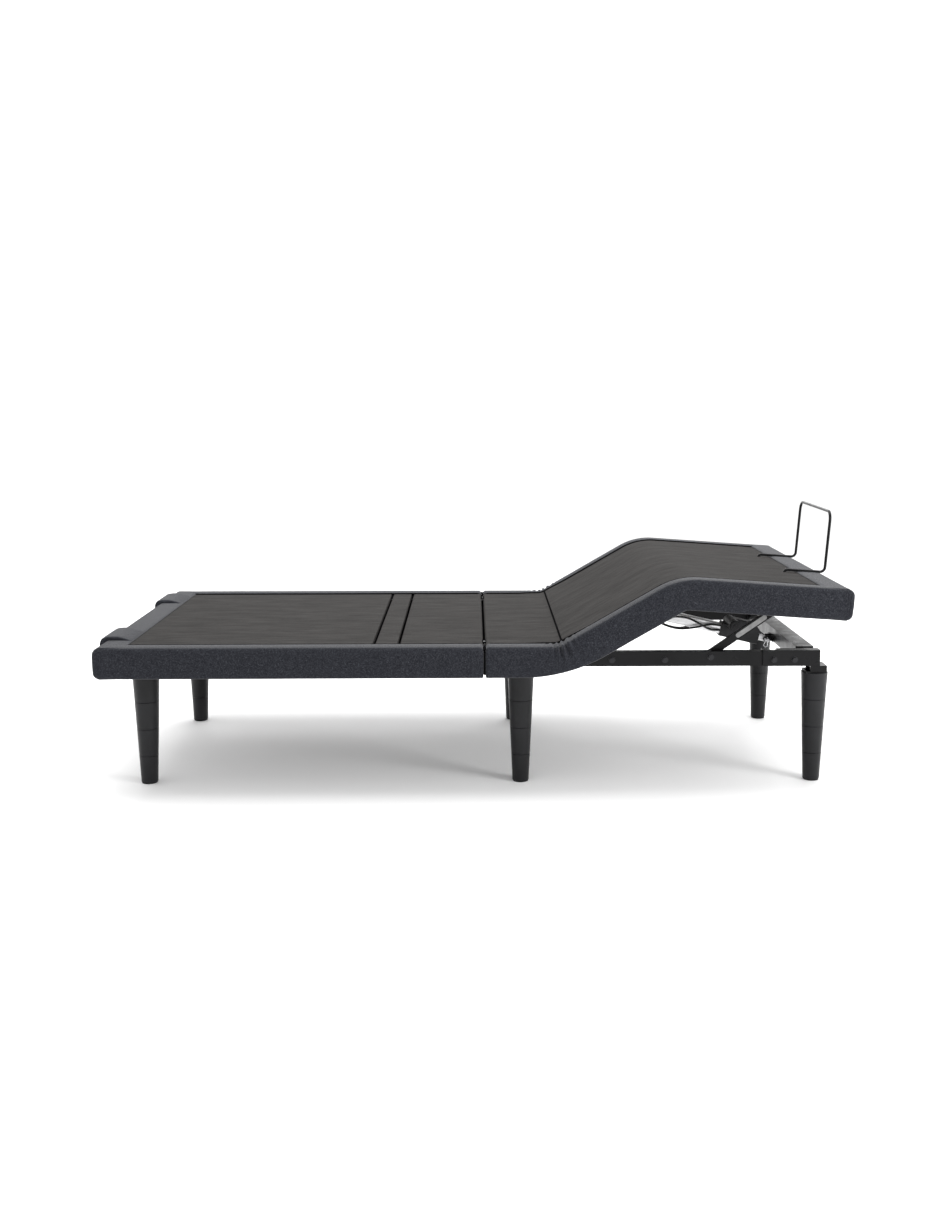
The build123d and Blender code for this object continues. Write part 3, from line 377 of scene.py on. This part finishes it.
# ---- materials ----------------------------------------------------------------------------------
class Nodes:
    """A material's node tree with a Principled shader, and short names for the nodes used here."""

    def __init__(self, name, rough, metal=0.0, **sockets):
        self.mat = bpy.data.materials.new(name)
        self.mat.use_nodes = True
        self.tree = self.mat.node_tree
        self.shader = next(n for n in self.tree.nodes if n.type == "BSDF_PRINCIPLED")
        self.shader.inputs["Roughness"].default_value = rough
        self.shader.inputs["Metallic"].default_value = metal
        for key, value in sockets.items():
            self.shader.inputs[key.replace("_", " ")].default_value = value
        self.place = self.tree.nodes.new("ShaderNodeTexCoord").outputs["Object"]

    def link(self, a, b):
        self.tree.links.new(a, b)

    def scaled(self, x, y, z):
        node = self.tree.nodes.new("ShaderNodeMapping")
        node.inputs["Scale"].default_value = (x, y, z)
        self.link(self.place, node.inputs["Vector"])
        return node.outputs["Vector"]

    def noise(self, vector, scale, detail=3.0, rough=0.6):
        node = self.tree.nodes.new("ShaderNodeTexNoise")
        node.inputs["Scale"].default_value = scale
        node.inputs["Detail"].default_value = detail
        node.inputs["Roughness"].default_value = rough
        self.link(vector, node.inputs["Vector"])
        return node.outputs["Fac"]

    def wave(self, vector, scale, axis, distort=0.0):
        node = self.tree.nodes.new("ShaderNodeTexWave")
        node.bands_direction = axis
        node.inputs["Scale"].default_value = scale
        node.inputs["Distortion"].default_value = distort
        node.inputs["Detail Scale"].default_value = 3.0
        self.link(vector, node.inputs["Vector"])
        return node.outputs["Fac"]

    def math(self, kind, a, b):
        node = self.tree.nodes.new("ShaderNodeMath")
        node.operation = kind
        for value, socket in ((a, node.inputs[0]), (b, node.inputs[1])):
            if isinstance(value, (int, float)):
                socket.default_value = value
            else:
                self.link(value, socket)
        return node.outputs[0]

    def ramp(self, fac, stops):
        node = self.tree.nodes.new("ShaderNodeValToRGB")
        while len(node.color_ramp.elements) < len(stops):
            node.color_ramp.elements.new(0.5)
        for element, (at, color) in zip(node.color_ramp.elements, stops):
            element.position = at
            element.color = (*color, 1) if isinstance(color, tuple) else (color, color, color, 1)
        self.link(fac, node.inputs["Fac"])
        return node.outputs["Color"]

    def color(self, source):
        self.link(source, self.shader.inputs["Base Color"])

    def roughness(self, source):
        self.link(source, self.shader.inputs["Roughness"])

    def bump(self, height, strength, distance):
        node = self.tree.nodes.new("ShaderNodeBump")
        node.inputs["Strength"].default_value = strength
        node.inputs["Distance"].default_value = distance
        self.link(height, node.inputs["Height"])
        self.link(node.outputs["Normal"], self.shader.inputs["Normal"])


KNIT_DARK, KNIT_MID, KNIT_LIGHT = (0.0055, 0.0058, 0.0080), (0.0158, 0.0166, 0.0208), (0.054, 0.057, 0.066)
GRIP_DARK, GRIP_LIGHT = (0.018, 0.0172, 0.0168), (0.050, 0.0478, 0.0464)


def knit():
    """Charcoal heather knit: speckled yarn in two directions, with a soft nap."""
    m = Nodes("charcoal_knit", 0.9, Sheen_Weight=0.17, Sheen_Roughness=0.4, Specular_IOR_Level=0.06)
    warp = m.noise(m.scaled(300, 1500, 1500), 1.0, 2.0)
    weft = m.noise(m.scaled(1500, 300, 300), 1.0, 2.0)
    fleck = m.noise(m.place, 340.0, 1.0)
    yarns = m.math("MULTIPLY", m.math("ADD", warp, weft), 0.38)
    mix = m.math("ADD", yarns, m.math("MULTIPLY", fleck, 0.24))
    m.color(m.ramp(mix, [(0.36, KNIT_DARK), (0.5, KNIT_MID), (0.64, KNIT_LIGHT)]))
    across, slant = m.scaled(1, 1, 1), m.scaled(0.35, 1, 1)
    loops = m.math("MULTIPLY", m.wave(across, 480, "X", 1.4), m.wave(slant, 480, "DIAGONAL", 1.4))
    m.bump(m.math("ADD", m.math("MULTIPLY", loops, 0.5), warp), 0.42, 0.0006)
    return m.mat


def grip_cloth():
    """Non-slip deck cloth: fine lengthwise ribs in a mottled grey-brown."""
    m = Nodes("grip_cloth", 0.92, Specular_IOR_Level=0.03)
    ribs = m.noise(m.scaled(16, 420, 16), 1.0, 2.0, 0.6)
    broad = m.noise(m.scaled(7, 26, 7), 1.0, 3.0)
    grain = m.noise(m.place, 700.0, 1.0)
    mix = m.math("ADD", m.math("MULTIPLY", ribs, 0.42), m.math("MULTIPLY", broad, 0.22))
    mix = m.math("ADD", mix, m.math("MULTIPLY", grain, 0.36))
    m.color(m.ramp(mix, [(0.36, GRIP_DARK), (0.64, GRIP_LIGHT)]))
    m.bump(m.math("ADD", ribs, m.math("MULTIPLY", grain, 0.6)), 0.35, 0.0005)
    return m.mat


def binding_and_shade():
    """Black woven cloth for piping, gussets and seams, kept near-black and without shine so that it also paints
    the shade in seams and gaps.
    """
    m = Nodes("black_binding", 1.0, Specular_IOR_Level=0.0)
    twill = m.wave(m.scaled(1, 1, 1), 900, "DIAGONAL", 0.6)
    tone = m.noise(m.place, 300.0, 2.0)
    # painted shade: these near-black tones are the cloth's own black and also stand in for the shade in narrow
    # seams and gaps
    m.color(m.ramp(tone, [(0.35, (0.003, 0.003, 0.0033)), (0.65, (0.007, 0.007, 0.0076))]))
    m.bump(twill, 0.3, 0.0003)
    return m.mat


def shaded(color, dark, light, spread_from=0.3):
    """Stops of a ramp from a darker to a lighter shade of one colour."""
    shades = [tuple(c * factor for c in color) for factor in (dark, light)]
    return list(zip((spread_from, 1 - spread_from), shades))


def powder(name, color, rough):
    """Powder coat: slight orange peel, with a little wear in tone."""
    m = Nodes(name, rough, Specular_IOR_Level=0.15)
    m.color(m.ramp(m.noise(m.place, 9.0, 4.0), shaded(color, 0.75, 1.3)))
    shine = m.noise(m.place, 22.0, 3.0)
    m.roughness(m.ramp(shine, [(0.3, rough - 0.07), (0.7, rough + 0.1)]))
    m.bump(m.noise(m.place, 420.0, 2.0), 0.25, 0.0004)
    return m.mat


def moulded(name, color, rough):
    """Moulded plastic with a fine spark-eroded grain."""
    m = Nodes(name, rough, Specular_IOR_Level=0.22)
    m.color(m.ramp(m.noise(m.place, 12.0, 3.0), shaded(color, 0.8, 1.25, 0.35)))
    m.roughness(m.ramp(m.noise(m.place, 60.0, 2.0), [(0.3, rough - 0.06), (0.7, rough + 0.08)]))
    m.bump(m.noise(m.place, 1300.0, 1.0), 0.22, 0.0003)
    return m.mat


def brushed(name, color, rough, along):
    """Metal with fine draw lines along one direction."""
    m = Nodes(name, rough, 1.0)
    lines = m.noise(m.scaled(*along), 1.0, 3.0, 0.65)
    m.color(m.ramp(lines, shaded(color, 0.8, 1.0)))
    m.roughness(m.ramp(lines, [(0.3, rough - 0.08), (0.7, rough + 0.14)]))
    m.bump(lines, 0.12, 0.0002)
    return m.mat


def board():
    """Dark film-faced board with faint fibres."""
    m = Nodes("film_faced_board", 0.62)
    fibre = m.noise(m.scaled(18, 260, 260), 1.0, 4.0, 0.7)
    m.color(m.ramp(fibre, [(0.3, (0.022, 0.019, 0.017)), (0.7, (0.058, 0.05, 0.044))]))
    m.bump(fibre, 0.25, 0.0004)
    return m.mat


def label():
    """Blank satin label film, with slight scuffs."""
    m = Nodes("blank_label", 0.42)
    scuff = m.noise(m.scaled(60, 200, 60), 1.0, 4.0)
    m.color(m.ramp(scuff, [(0.35, (0.19, 0.19, 0.19)), (0.65, (0.28, 0.28, 0.277))]))
    m.bump(scuff, 0.08, 0.0002)
    return m.mat


KNIT = knit()
GRIP = grip_cloth()
# near-black cloth that also paints the shade in seams and gaps
BINDING_AND_SHADE = binding_and_shade()
STYLES = {
    "black_paint": powder("black_powder_coat", (0.0042, 0.0042, 0.0047), 0.32),
    "bright_steel": brushed("zinc_steel", (0.62, 0.62, 0.64), 0.3, (40, 900, 900)),
    "leg_plastic": moulded("satin_leg", (0.0075, 0.0076, 0.0086), 0.36),
    "glide_rubber": moulded("glide_rubber", (0.012, 0.012, 0.012), 0.8),
    "board_wood": board(),
    "housing_aluminium": brushed("drawn_aluminium", (0.83, 0.83, 0.84), 0.3, (12, 700, 700)),
    "black_plastic": moulded("black_housing", (0.013, 0.013, 0.014), 0.42),
    "roller_nylon": moulded("nylon_roller", (0.02, 0.02, 0.021), 0.5),
    "label_film": label(),
    "cover_fabric": KNIT,
}

OWN_STYLES = {"frame_bolts": brushed("black_oxide_bolt", (0.035, 0.035, 0.037), 0.34, (300, 300, 300))}

for part in frame["record"]["subparts"]:
    node = frame["nodes"][part["node"]]
    node.data.materials.clear()
    node.data.materials.append(OWN_STYLES.get(part["node"], STYLES[part["material_slot"]]))


def finish_soft(obj, material):
    """Give a soft piece its look."""
    obj.data.materials.append(material)
    return obj


def along(pivot, angle, reach):
    """Start and end of a blend that runs reach each way from a pivot, along a direction."""
    d = Vector((cos(angle), 0, sin(angle))) * reach
    c = Vector((pivot[0], 0, pivot[1]))
    return tuple(c - d), tuple(c + d)


# ---- covers -------------------------------------------------------------------------------------
HEAD_SEED = 3.0
SEAT_SEED = 8.0  # the calf cover's too, so that their unevenness meets at the middle of the thigh

head_cover = u_skirt("head_cover", GAP_X - GAP, HEAD_FACE, flat, HEAD_SEED, caps=True)
finish_soft(head_cover, KNIT)
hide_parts("head_skirt_near", "head_skirt_far", "head_skirt_end")
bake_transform(head_cover)

for side, word in SIDES:
    cover = side_skirt(f"seat_cover_{word}", side, GAP_X + GAP, MID_THIGH, rest, SEAT_SEED)
    finish_soft(cover, KNIT)
    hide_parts(f"seat_skirt_{word}", f"thigh_skirt_{word}")
    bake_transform(cover)

calf_cover = u_skirt("calf_cover", MID_THIGH, FOOT_FACE, rest, SEAT_SEED, caps=False)
finish_soft(calf_cover, KNIT)
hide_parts("calf_skirt_near", "calf_skirt_far", "calf_skirt_end")
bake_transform(calf_cover)


# ---- deck cloths --------------------------------------------------------------------------------
CLOTH_STEP = 0.016  # between points across the deck
CLOTH_RIPPLE = 0.00028
FOLD_LIFT = 0.0023  # clears the boards' ends when the thigh section is raised further
FOLD_LIFT_REACH = 0.075
SEAM_DEPTH = 0.006
SEAM_WIDTH = 0.0014

TUCK = 0.012  # how far a cloth goes down at an open end
TUCK_OUT = 0.0012  # and how far beyond the end it hangs
TURN_DOWN = ((0.0004, 0.0006), (0.0010, 0.0022))  # on the way there: distance beyond the end, and down

HINGE_Y = 0.340  # beyond this the hinge's ears and pin leave room only for a shallow hem
SHALLOW_HEM = 0.0012
HEM_LENGTH = 0.005  # the cloth slopes down over this length beside the gap
HEM_DROOP = 0.005


def fold_lift(x):
    """How far the cloth stands off the boards beside the seat's fold."""
    return FOLD_LIFT * bell(x - THIGH[0], FOLD_LIFT_REACH, power=4)


def tucked(end, way, tuck):
    """Stations from an open end outwards and down: place along the deck, and height."""
    return [(end + way * out, -down) for out, down in (*TURN_DOWN, (TUCK_OUT, tuck))]


def deck_cloth(name, xs, place, tuck0=0.0, tuck1=0.0, half=PANEL_Y):
    """Cloth drawn over a board, tucked down at an end where tuck is more than 0."""
    stations = [(x, 0.0) for x in xs]
    if tuck0:
        stations = tucked(xs[0], -1, tuck0)[::-1] + stations
    if tuck1:
        stations += tucked(xs[-1], 1, tuck1)
    rows = []
    for x, down in stations:
        seam = SEAM_DEPTH * bell(x - FOLD_SEAM, SEAM_WIDTH)
        beside = (abs(x - GAP_X) - GAP + TUCK_OUT) / HEM_LENGTH
        droop = HEM_DROOP * max(0.0, 1 - beside) ** 1.5
        row = []
        for y in spread(-half, half, CLOTH_STEP):
            lift = CLOTH_RIPPLE * noise.noise(Vector((x * 9, y * 9, 4.0))) + fold_lift(x)
            shallow = abs(y) > HINGE_Y and abs(x - GAP_X) < 0.01
            hem = max(down, -SHALLOW_HEM) if shallow else down
            px, pz = place(x, PANEL_Z + hem + lift - seam - droop)
            row.append((px, y, pz))
        rows.append(row)
    return finish_soft(grid(name, rows), GRIP)


UNDER = 0.004  # how far the cloth reaches under the border at the deck's ends
head_edge = HEAD_FACE + END_BORDER - UNDER
foot_edge = FOOT_FACE - END_BORDER + UNDER

upper = deck_cloth("head_cloth", spread(head_edge, SLOTS[0], 0.008), flat, tuck1=TUCK)
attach(upper, "head_deck")

hem_start = GAP_X - GAP - HEM_LENGTH
lower_xs = spread(SLOTS[3], hem_start, 0.008)[:-1] + spread(hem_start, GAP_X - GAP, 0.001)
lower = deck_cloth("lower_back_cloth", lower_xs, flat, TUCK, TUCK)
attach(lower, "head_deck")

strip = deck_cloth("lumbar_cloth", spread(SLOTS[1], SLOTS[2], 0.008), flat, TUCK, TUCK, half=LUMBAR_Y)
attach(strip, "lumbar")

hem_end = GAP_X + GAP + HEM_LENGTH
seat_xs = spread_fine(hem_end, MID_THIGH, middle=FOLD_SEAM, reach=0.006, step=0.005, fine=0.0007)
seat_cloth = deck_cloth("seat_cloth", spread(GAP_X + GAP, hem_end, 0.001)[:-1] + seat_xs, rest, tuck0=TUCK)
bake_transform(seat_cloth)

calf_cloth = deck_cloth("calf_cloth", spread(MID_THIGH, foot_edge, 0.006), rest)
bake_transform(calf_cloth)


# ---- gussets, facings, piping: near-black pieces that also paint shade in gaps and seams --------
SAG = 0.012
GUSSET_WAVE = 0.0003
LUMBAR_GUSSET_Z = 0.3855
LUMBAR_GUSSET_Y = 0.4210
LUMBAR_END_Y = 0.4229
HINGE_GUSSET_X = 0.0085
HINGE_GUSSET_Y = 0.3500
HINGE_GUSSET_Z = 0.3840


def gusset_and_shade(name, x0, x1, top, sag, y0, y1):
    """A narrow near-black sheet that hangs across a gap between two sections, partly real cloth and partly painted
    shade in the gap.
    """
    rows = []
    for t in spread(0, 1, 0.1):
        x = x0 + (x1 - x0) * t
        z = top - sag * sin(pi * t)
        rows.append([(x, y, z + GUSSET_WAVE * sin(y * 40)) for y in spread(y0, y1, CLOTH_STEP)])
    obj = finish_soft(grid(name, rows), BINDING_AND_SHADE)
    return obj


# painted shade: near-black sheets under the lumbar slots stand in for the shade below them
for word, x0, x1 in (("upper", SLOTS[0], SLOTS[1]), ("lower", SLOTS[3], SLOTS[2])):
    inner = gusset_and_shade(
        f"lumbar_gusset_and_shade_{word}", x0, x1, LUMBAR_GUSSET_Z, SAG, -LUMBAR_GUSSET_Y, LUMBAR_GUSSET_Y
    )
    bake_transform(inner)

# painted shade: near-black strips at the slots' ends stand in for the shade there
END_LOW, END_HIGH = 0.3855, 0.3975
strip_xs = spread(SLOTS[1], SLOTS[2], 0.003)
for side, word in SIDES:
    rows = []
    for z in spread(END_LOW, END_HIGH, 0.0015):
        rows.append([(x, side * (LUMBAR_END_Y + GUSSET_WAVE * sin(x * 300)), z) for x in strip_xs])
    end_gusset_and_shade = finish_soft(grid(f"lumbar_end_gusset_and_shade_{word}", rows), BINDING_AND_SHADE)
    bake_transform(end_gusset_and_shade)

# painted shade: the near-black sheet in the head hinge's gap stands in for the shade in it
x0, x1 = GAP_X - HINGE_GUSSET_X, GAP_X + HINGE_GUSSET_X
hinge_gusset = gusset_and_shade("hinge_gusset", x0, x1, HINGE_GUSSET_Z, SAG, -HINGE_GUSSET_Y, HINGE_GUSSET_Y)
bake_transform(hinge_gusset)

# painted shade: the near-black sheets over the ears hide their bright steel and, with the others, stand in for the
# gap's shade
# Over each pair of hinge ears, beside them, and between the padded borders: kind, inner and outer place
# across the deck, reach each way from the gap's middle, height, sag.
SIDE_GUSSETS = (
    ("ear", 0.3455, 0.3820, 0.0052, 0.3976, 0.0006),
    ("hem", 0.3795, 0.4300, 0.0040, 0.3885, 0.0080),
    ("edge", 0.4250, 0.4790, 0.0040, 0.3990, 0.0030),
)
for side, word in SIDES:
    for kind, y_in, y_out, reach, top, sag in SIDE_GUSSETS:
        low, high = sorted((side * y_in, side * y_out))
        side_gusset_and_shade = gusset_and_shade(f"{kind}_gusset_{word}", GAP_X - reach, GAP_X + reach, top, sag, low, high)
        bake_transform(side_gusset_and_shade)


# painted shade: this black piece stands in for the shade on the seat skirt's end inside the hinge's gap
# The facing's middle and half of its size, along and across the deck.
FACING_X, FACING_HALF_X = GAP_X + 0.0012, 0.0044
FACING_Y, FACING_HALF_Y = 0.4690, 0.0095
# Height of each of its rings, and the ring's size as a share of the full one.
FACING_RINGS = (
    (0.3285, 0.70), (0.3300, 0.92), (0.3330, 1.0), (0.3500, 1.0),
    (0.3700, 1.0), (0.3860, 1.0), (0.3885, 0.80),
)


def boxy(c):
    """A sine or cosine changed so that a circle becomes a rounded rectangle."""
    return abs(c) ** 0.5 * (1 if c > 0 else -1)


def end_facing_and_shade(name, side):
    """Black cloth on the seat skirt's end, which closes the side of the head hinge's gap and is near-black to
    paint the shade there.
    """
    turns = spread(0, 2 * pi, 0.35)[:-1]
    rings = []
    for z, full in FACING_RINGS:
        x_half, y_half = FACING_HALF_X * full, FACING_HALF_Y * full
        rings.append(
            [(FACING_X + x_half * boxy(cos(a)), side * FACING_Y + y_half * boxy(sin(a)), z) for a in turns]
        )
    return finish_soft(tube(name, rings), BINDING_AND_SHADE)


for side, word in SIDES:
    facing_and_shade = end_facing_and_shade(f"seat_end_facing_and_shade_{word}", side)
    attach(facing_and_shade, "frame")


# painted shade: the near-black piping along the borders also stands in for the shade line where each border meets
# the deck cloth
PIPING_Y = 0.4220
PIPING_RISE = 0.0014  # of its middle above the cloth
PIPING_RADIUS = 0.0021
PIPING_STEP = 0.006
PIPING_STOP = 0.0125  # the piping ends this far from the head hinge

SEAM_Y = 0.424
SEAM_RISE = 0.0006
SEAM_RADIUS = 0.0023


def piping_and_shade(name, places, radius):
    """A sewn cord through a list of places, in the near-black material that also paints shade lines."""
    turns = spread(0, 2 * pi, 0.8)[:-1]
    rings = []
    for n, here in enumerate(places):
        before, after = places[max(n - 1, 0)], places[min(n + 1, len(places) - 1)]
        ahead = (Vector(after) - Vector(before)).normalized()
        side = ahead.cross(Vector((0, 0, 1))).normalized()
        up = side.cross(ahead)
        twist = 1 + 0.10 * sin(n * 1.9)
        ring = [Vector(here) + (side * cos(a) + up * sin(a)) * radius * twist for a in turns]
        rings.append([tuple(v) for v in ring])
    return finish_soft(tube(name, rings), BINDING_AND_SHADE)


def edge_piping_and_shade(name, side, xs, place):
    """Piping where a deck cloth meets the padded border of one side; its near-black cord also paints the shade
    line along the border's inner edge.
    """
    places = []
    for x in xs:
        px, pz = place(x, PANEL_Z + PIPING_RISE + fold_lift(x))
        places.append((px, side * PIPING_Y, pz))
    return piping_and_shade(name, places, PIPING_RADIUS)


head_xs = spread(head_edge + PIPING_STEP, GAP_X - PIPING_STOP, PIPING_STEP)
calf_xs = spread(MID_THIGH, foot_edge - PIPING_STEP, PIPING_STEP)
for side, word in SIDES:
    head_pipe_and_shade = edge_piping_and_shade(f"head_piping_and_shade_{word}", side, head_xs, flat)
    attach(head_pipe_and_shade, "head_deck")
    seat_pipe_and_shade = edge_piping_and_shade(f"seat_piping_and_shade_{word}", side, seat_xs[1:], rest)
    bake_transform(seat_pipe_and_shade)
    calf_pipe_and_shade = edge_piping_and_shade(f"calf_piping_and_shade_{word}", side, calf_xs, rest)
    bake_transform(calf_pipe_and_shade)

# painted shade: the near-black cord across the seat's fold is a sewn seam that also stands in for the shade in the
# fold's groove
seam_x, seam_z = rest(FOLD_SEAM, PANEL_Z + SEAM_RISE + fold_lift(FOLD_SEAM))
seam_ys = spread(-SEAM_Y, SEAM_Y, PIPING_STEP)
fold_seam = piping_and_shade("fold_seam", [(seam_x, y, seam_z) for y in seam_ys], SEAM_RADIUS)
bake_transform(fold_seam)


# ---- loops over the head end --------------------------------------------------------------------
# The loop's section: distance in from the deck's end and height, in millimetres.
LOOP = smooth_loop(
    [
        (72, 401), (62, 405.5), (46, 410.5), (26, 413.5), (6, 413.0), (-8, 408),
        (-14, 396), (-14.5, 382), (-11.5, 364), (-5.5, 346), (-1.5, 341), (-1.2, 352),
        (-2.0, 372), (-0.5, 388), (6, 398.5), (20, 403.5), (44, 404.2), (62, 402.4),
    ]
)
LOOP_Y = (0.228, 0.372)  # its inner and outer side
# How far the section is drawn in at each side: distance from the side, and amount.
LOOP_SIDES = ((0.0, 0.42), (0.0012, 0.2), (0.004, 0.06))
LOOP_STEP = 0.009
LOOP_RIPPLE = 1.2


def end_loop(name, y0, y1, seed):
    """A stuffed band over the head end's edge, drawn in at both of its sides."""
    width = y1 - y0
    stations = list(LOOP_SIDES)
    stations += [(d, 0.0) for d in spread(LOOP_STEP, width - LOOP_STEP, LOOP_STEP)]
    stations += [(width - d, draw) for d, draw in reversed(LOOP_SIDES)]
    rings = []
    for d, draw in stations:
        ring = []
        for dx, z in LOOP:
            x, z = HEAD_END + dx / 1000, z / 1000
            middle_x = HEAD_END + min(max(dx, -7), 60) / 1000
            middle_z = 0.402 if dx > 0 else min(z, 0.398)
            x, z = x + (middle_x - x) * draw, z + (middle_z - z) * draw
            out = ripple(x, y0 + d, z, seed) * LOOP_RIPPLE
            ring.append((x - out, y0 + d, z + out * (1 if dx > 0 else 0)))
        rings.append(ring)
    return finish_soft(tube(name, rings), KNIT)


for side, word in SIDES:
    low, high = sorted(side * y for y in LOOP_Y)
    loop = end_loop(f"head_loop_{word}", low, high, 20.0 + side)
    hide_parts("head_end_loops")
    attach(loop, "head_deck")

# ---- stage, light, camera -----------------------------------------------------------------------
REACH = 45.0
FLOOR_Z = -0.0004
lines = spread(-REACH, REACH, 15)
floor = grid("floor", [[(x, y, FLOOR_Z) for x in lines] for y in lines])
paper = Nodes("studio_paper", 0.8, Specular_IOR_Level=0.1)
paper.color(paper.ramp(paper.noise(paper.place, 1.5, 2.0), [(0.3, 0.92), (0.7, 0.94)]))
floor.data.materials.append(paper.mat)

world = bpy.data.worlds.new("studio")
bpy.context.scene.world = world
world.use_nodes = True
world.node_tree.nodes["Background"].inputs["Color"].default_value = (1.0, 1.0, 1.0, 1)
world.node_tree.nodes["Background"].inputs["Strength"].default_value = 1.12


def softbox(name, at, aim, size, power):
    """A rectangular area light aimed at a point."""
    data = bpy.data.lights.new(name, "AREA")
    data.shape = "RECTANGLE"
    data.size, data.size_y = size
    data.energy = power
    lamp = bpy.data.objects.new(name, data)
    bpy.context.scene.collection.objects.link(lamp)
    lamp.location = at
    lamp.rotation_euler = (Vector(aim) - Vector(at)).to_track_quat("-Z", "Y").to_euler()


softbox("top_softbox", (0.0, 0.5, 3.6), (0, 0, 0.3), (4.5, 3.0), 130)
softbox("foot_softbox", (3.5, -2.5, 1.5), (0.6, -0.45, 0.4), (1.4, 1.4), 95)
softbox("back_softbox", (0.4, 3.2, 2.2), (0, 0, 0.4), (5.0, 1.6), 80)

camera_data = bpy.data.cameras.new("camera")
camera_data.sensor_width = 36.0
camera_data.lens = 38.07
camera_data.shift_x = -0.0210
camera_data.shift_y = -0.0270
camera_data.clip_end = 120
camera = bpy.data.objects.new("camera", camera_data)
bpy.context.scene.collection.objects.link(camera)
camera.location = (GAP_X - 0.0285, -3.7654, 1.0741)
camera.rotation_euler = (pi / 2 - 0.1449, 0, -0.01735)
bpy.context.scene.camera = camera
bpy.context.scene.view_settings.view_transform = "Standard"
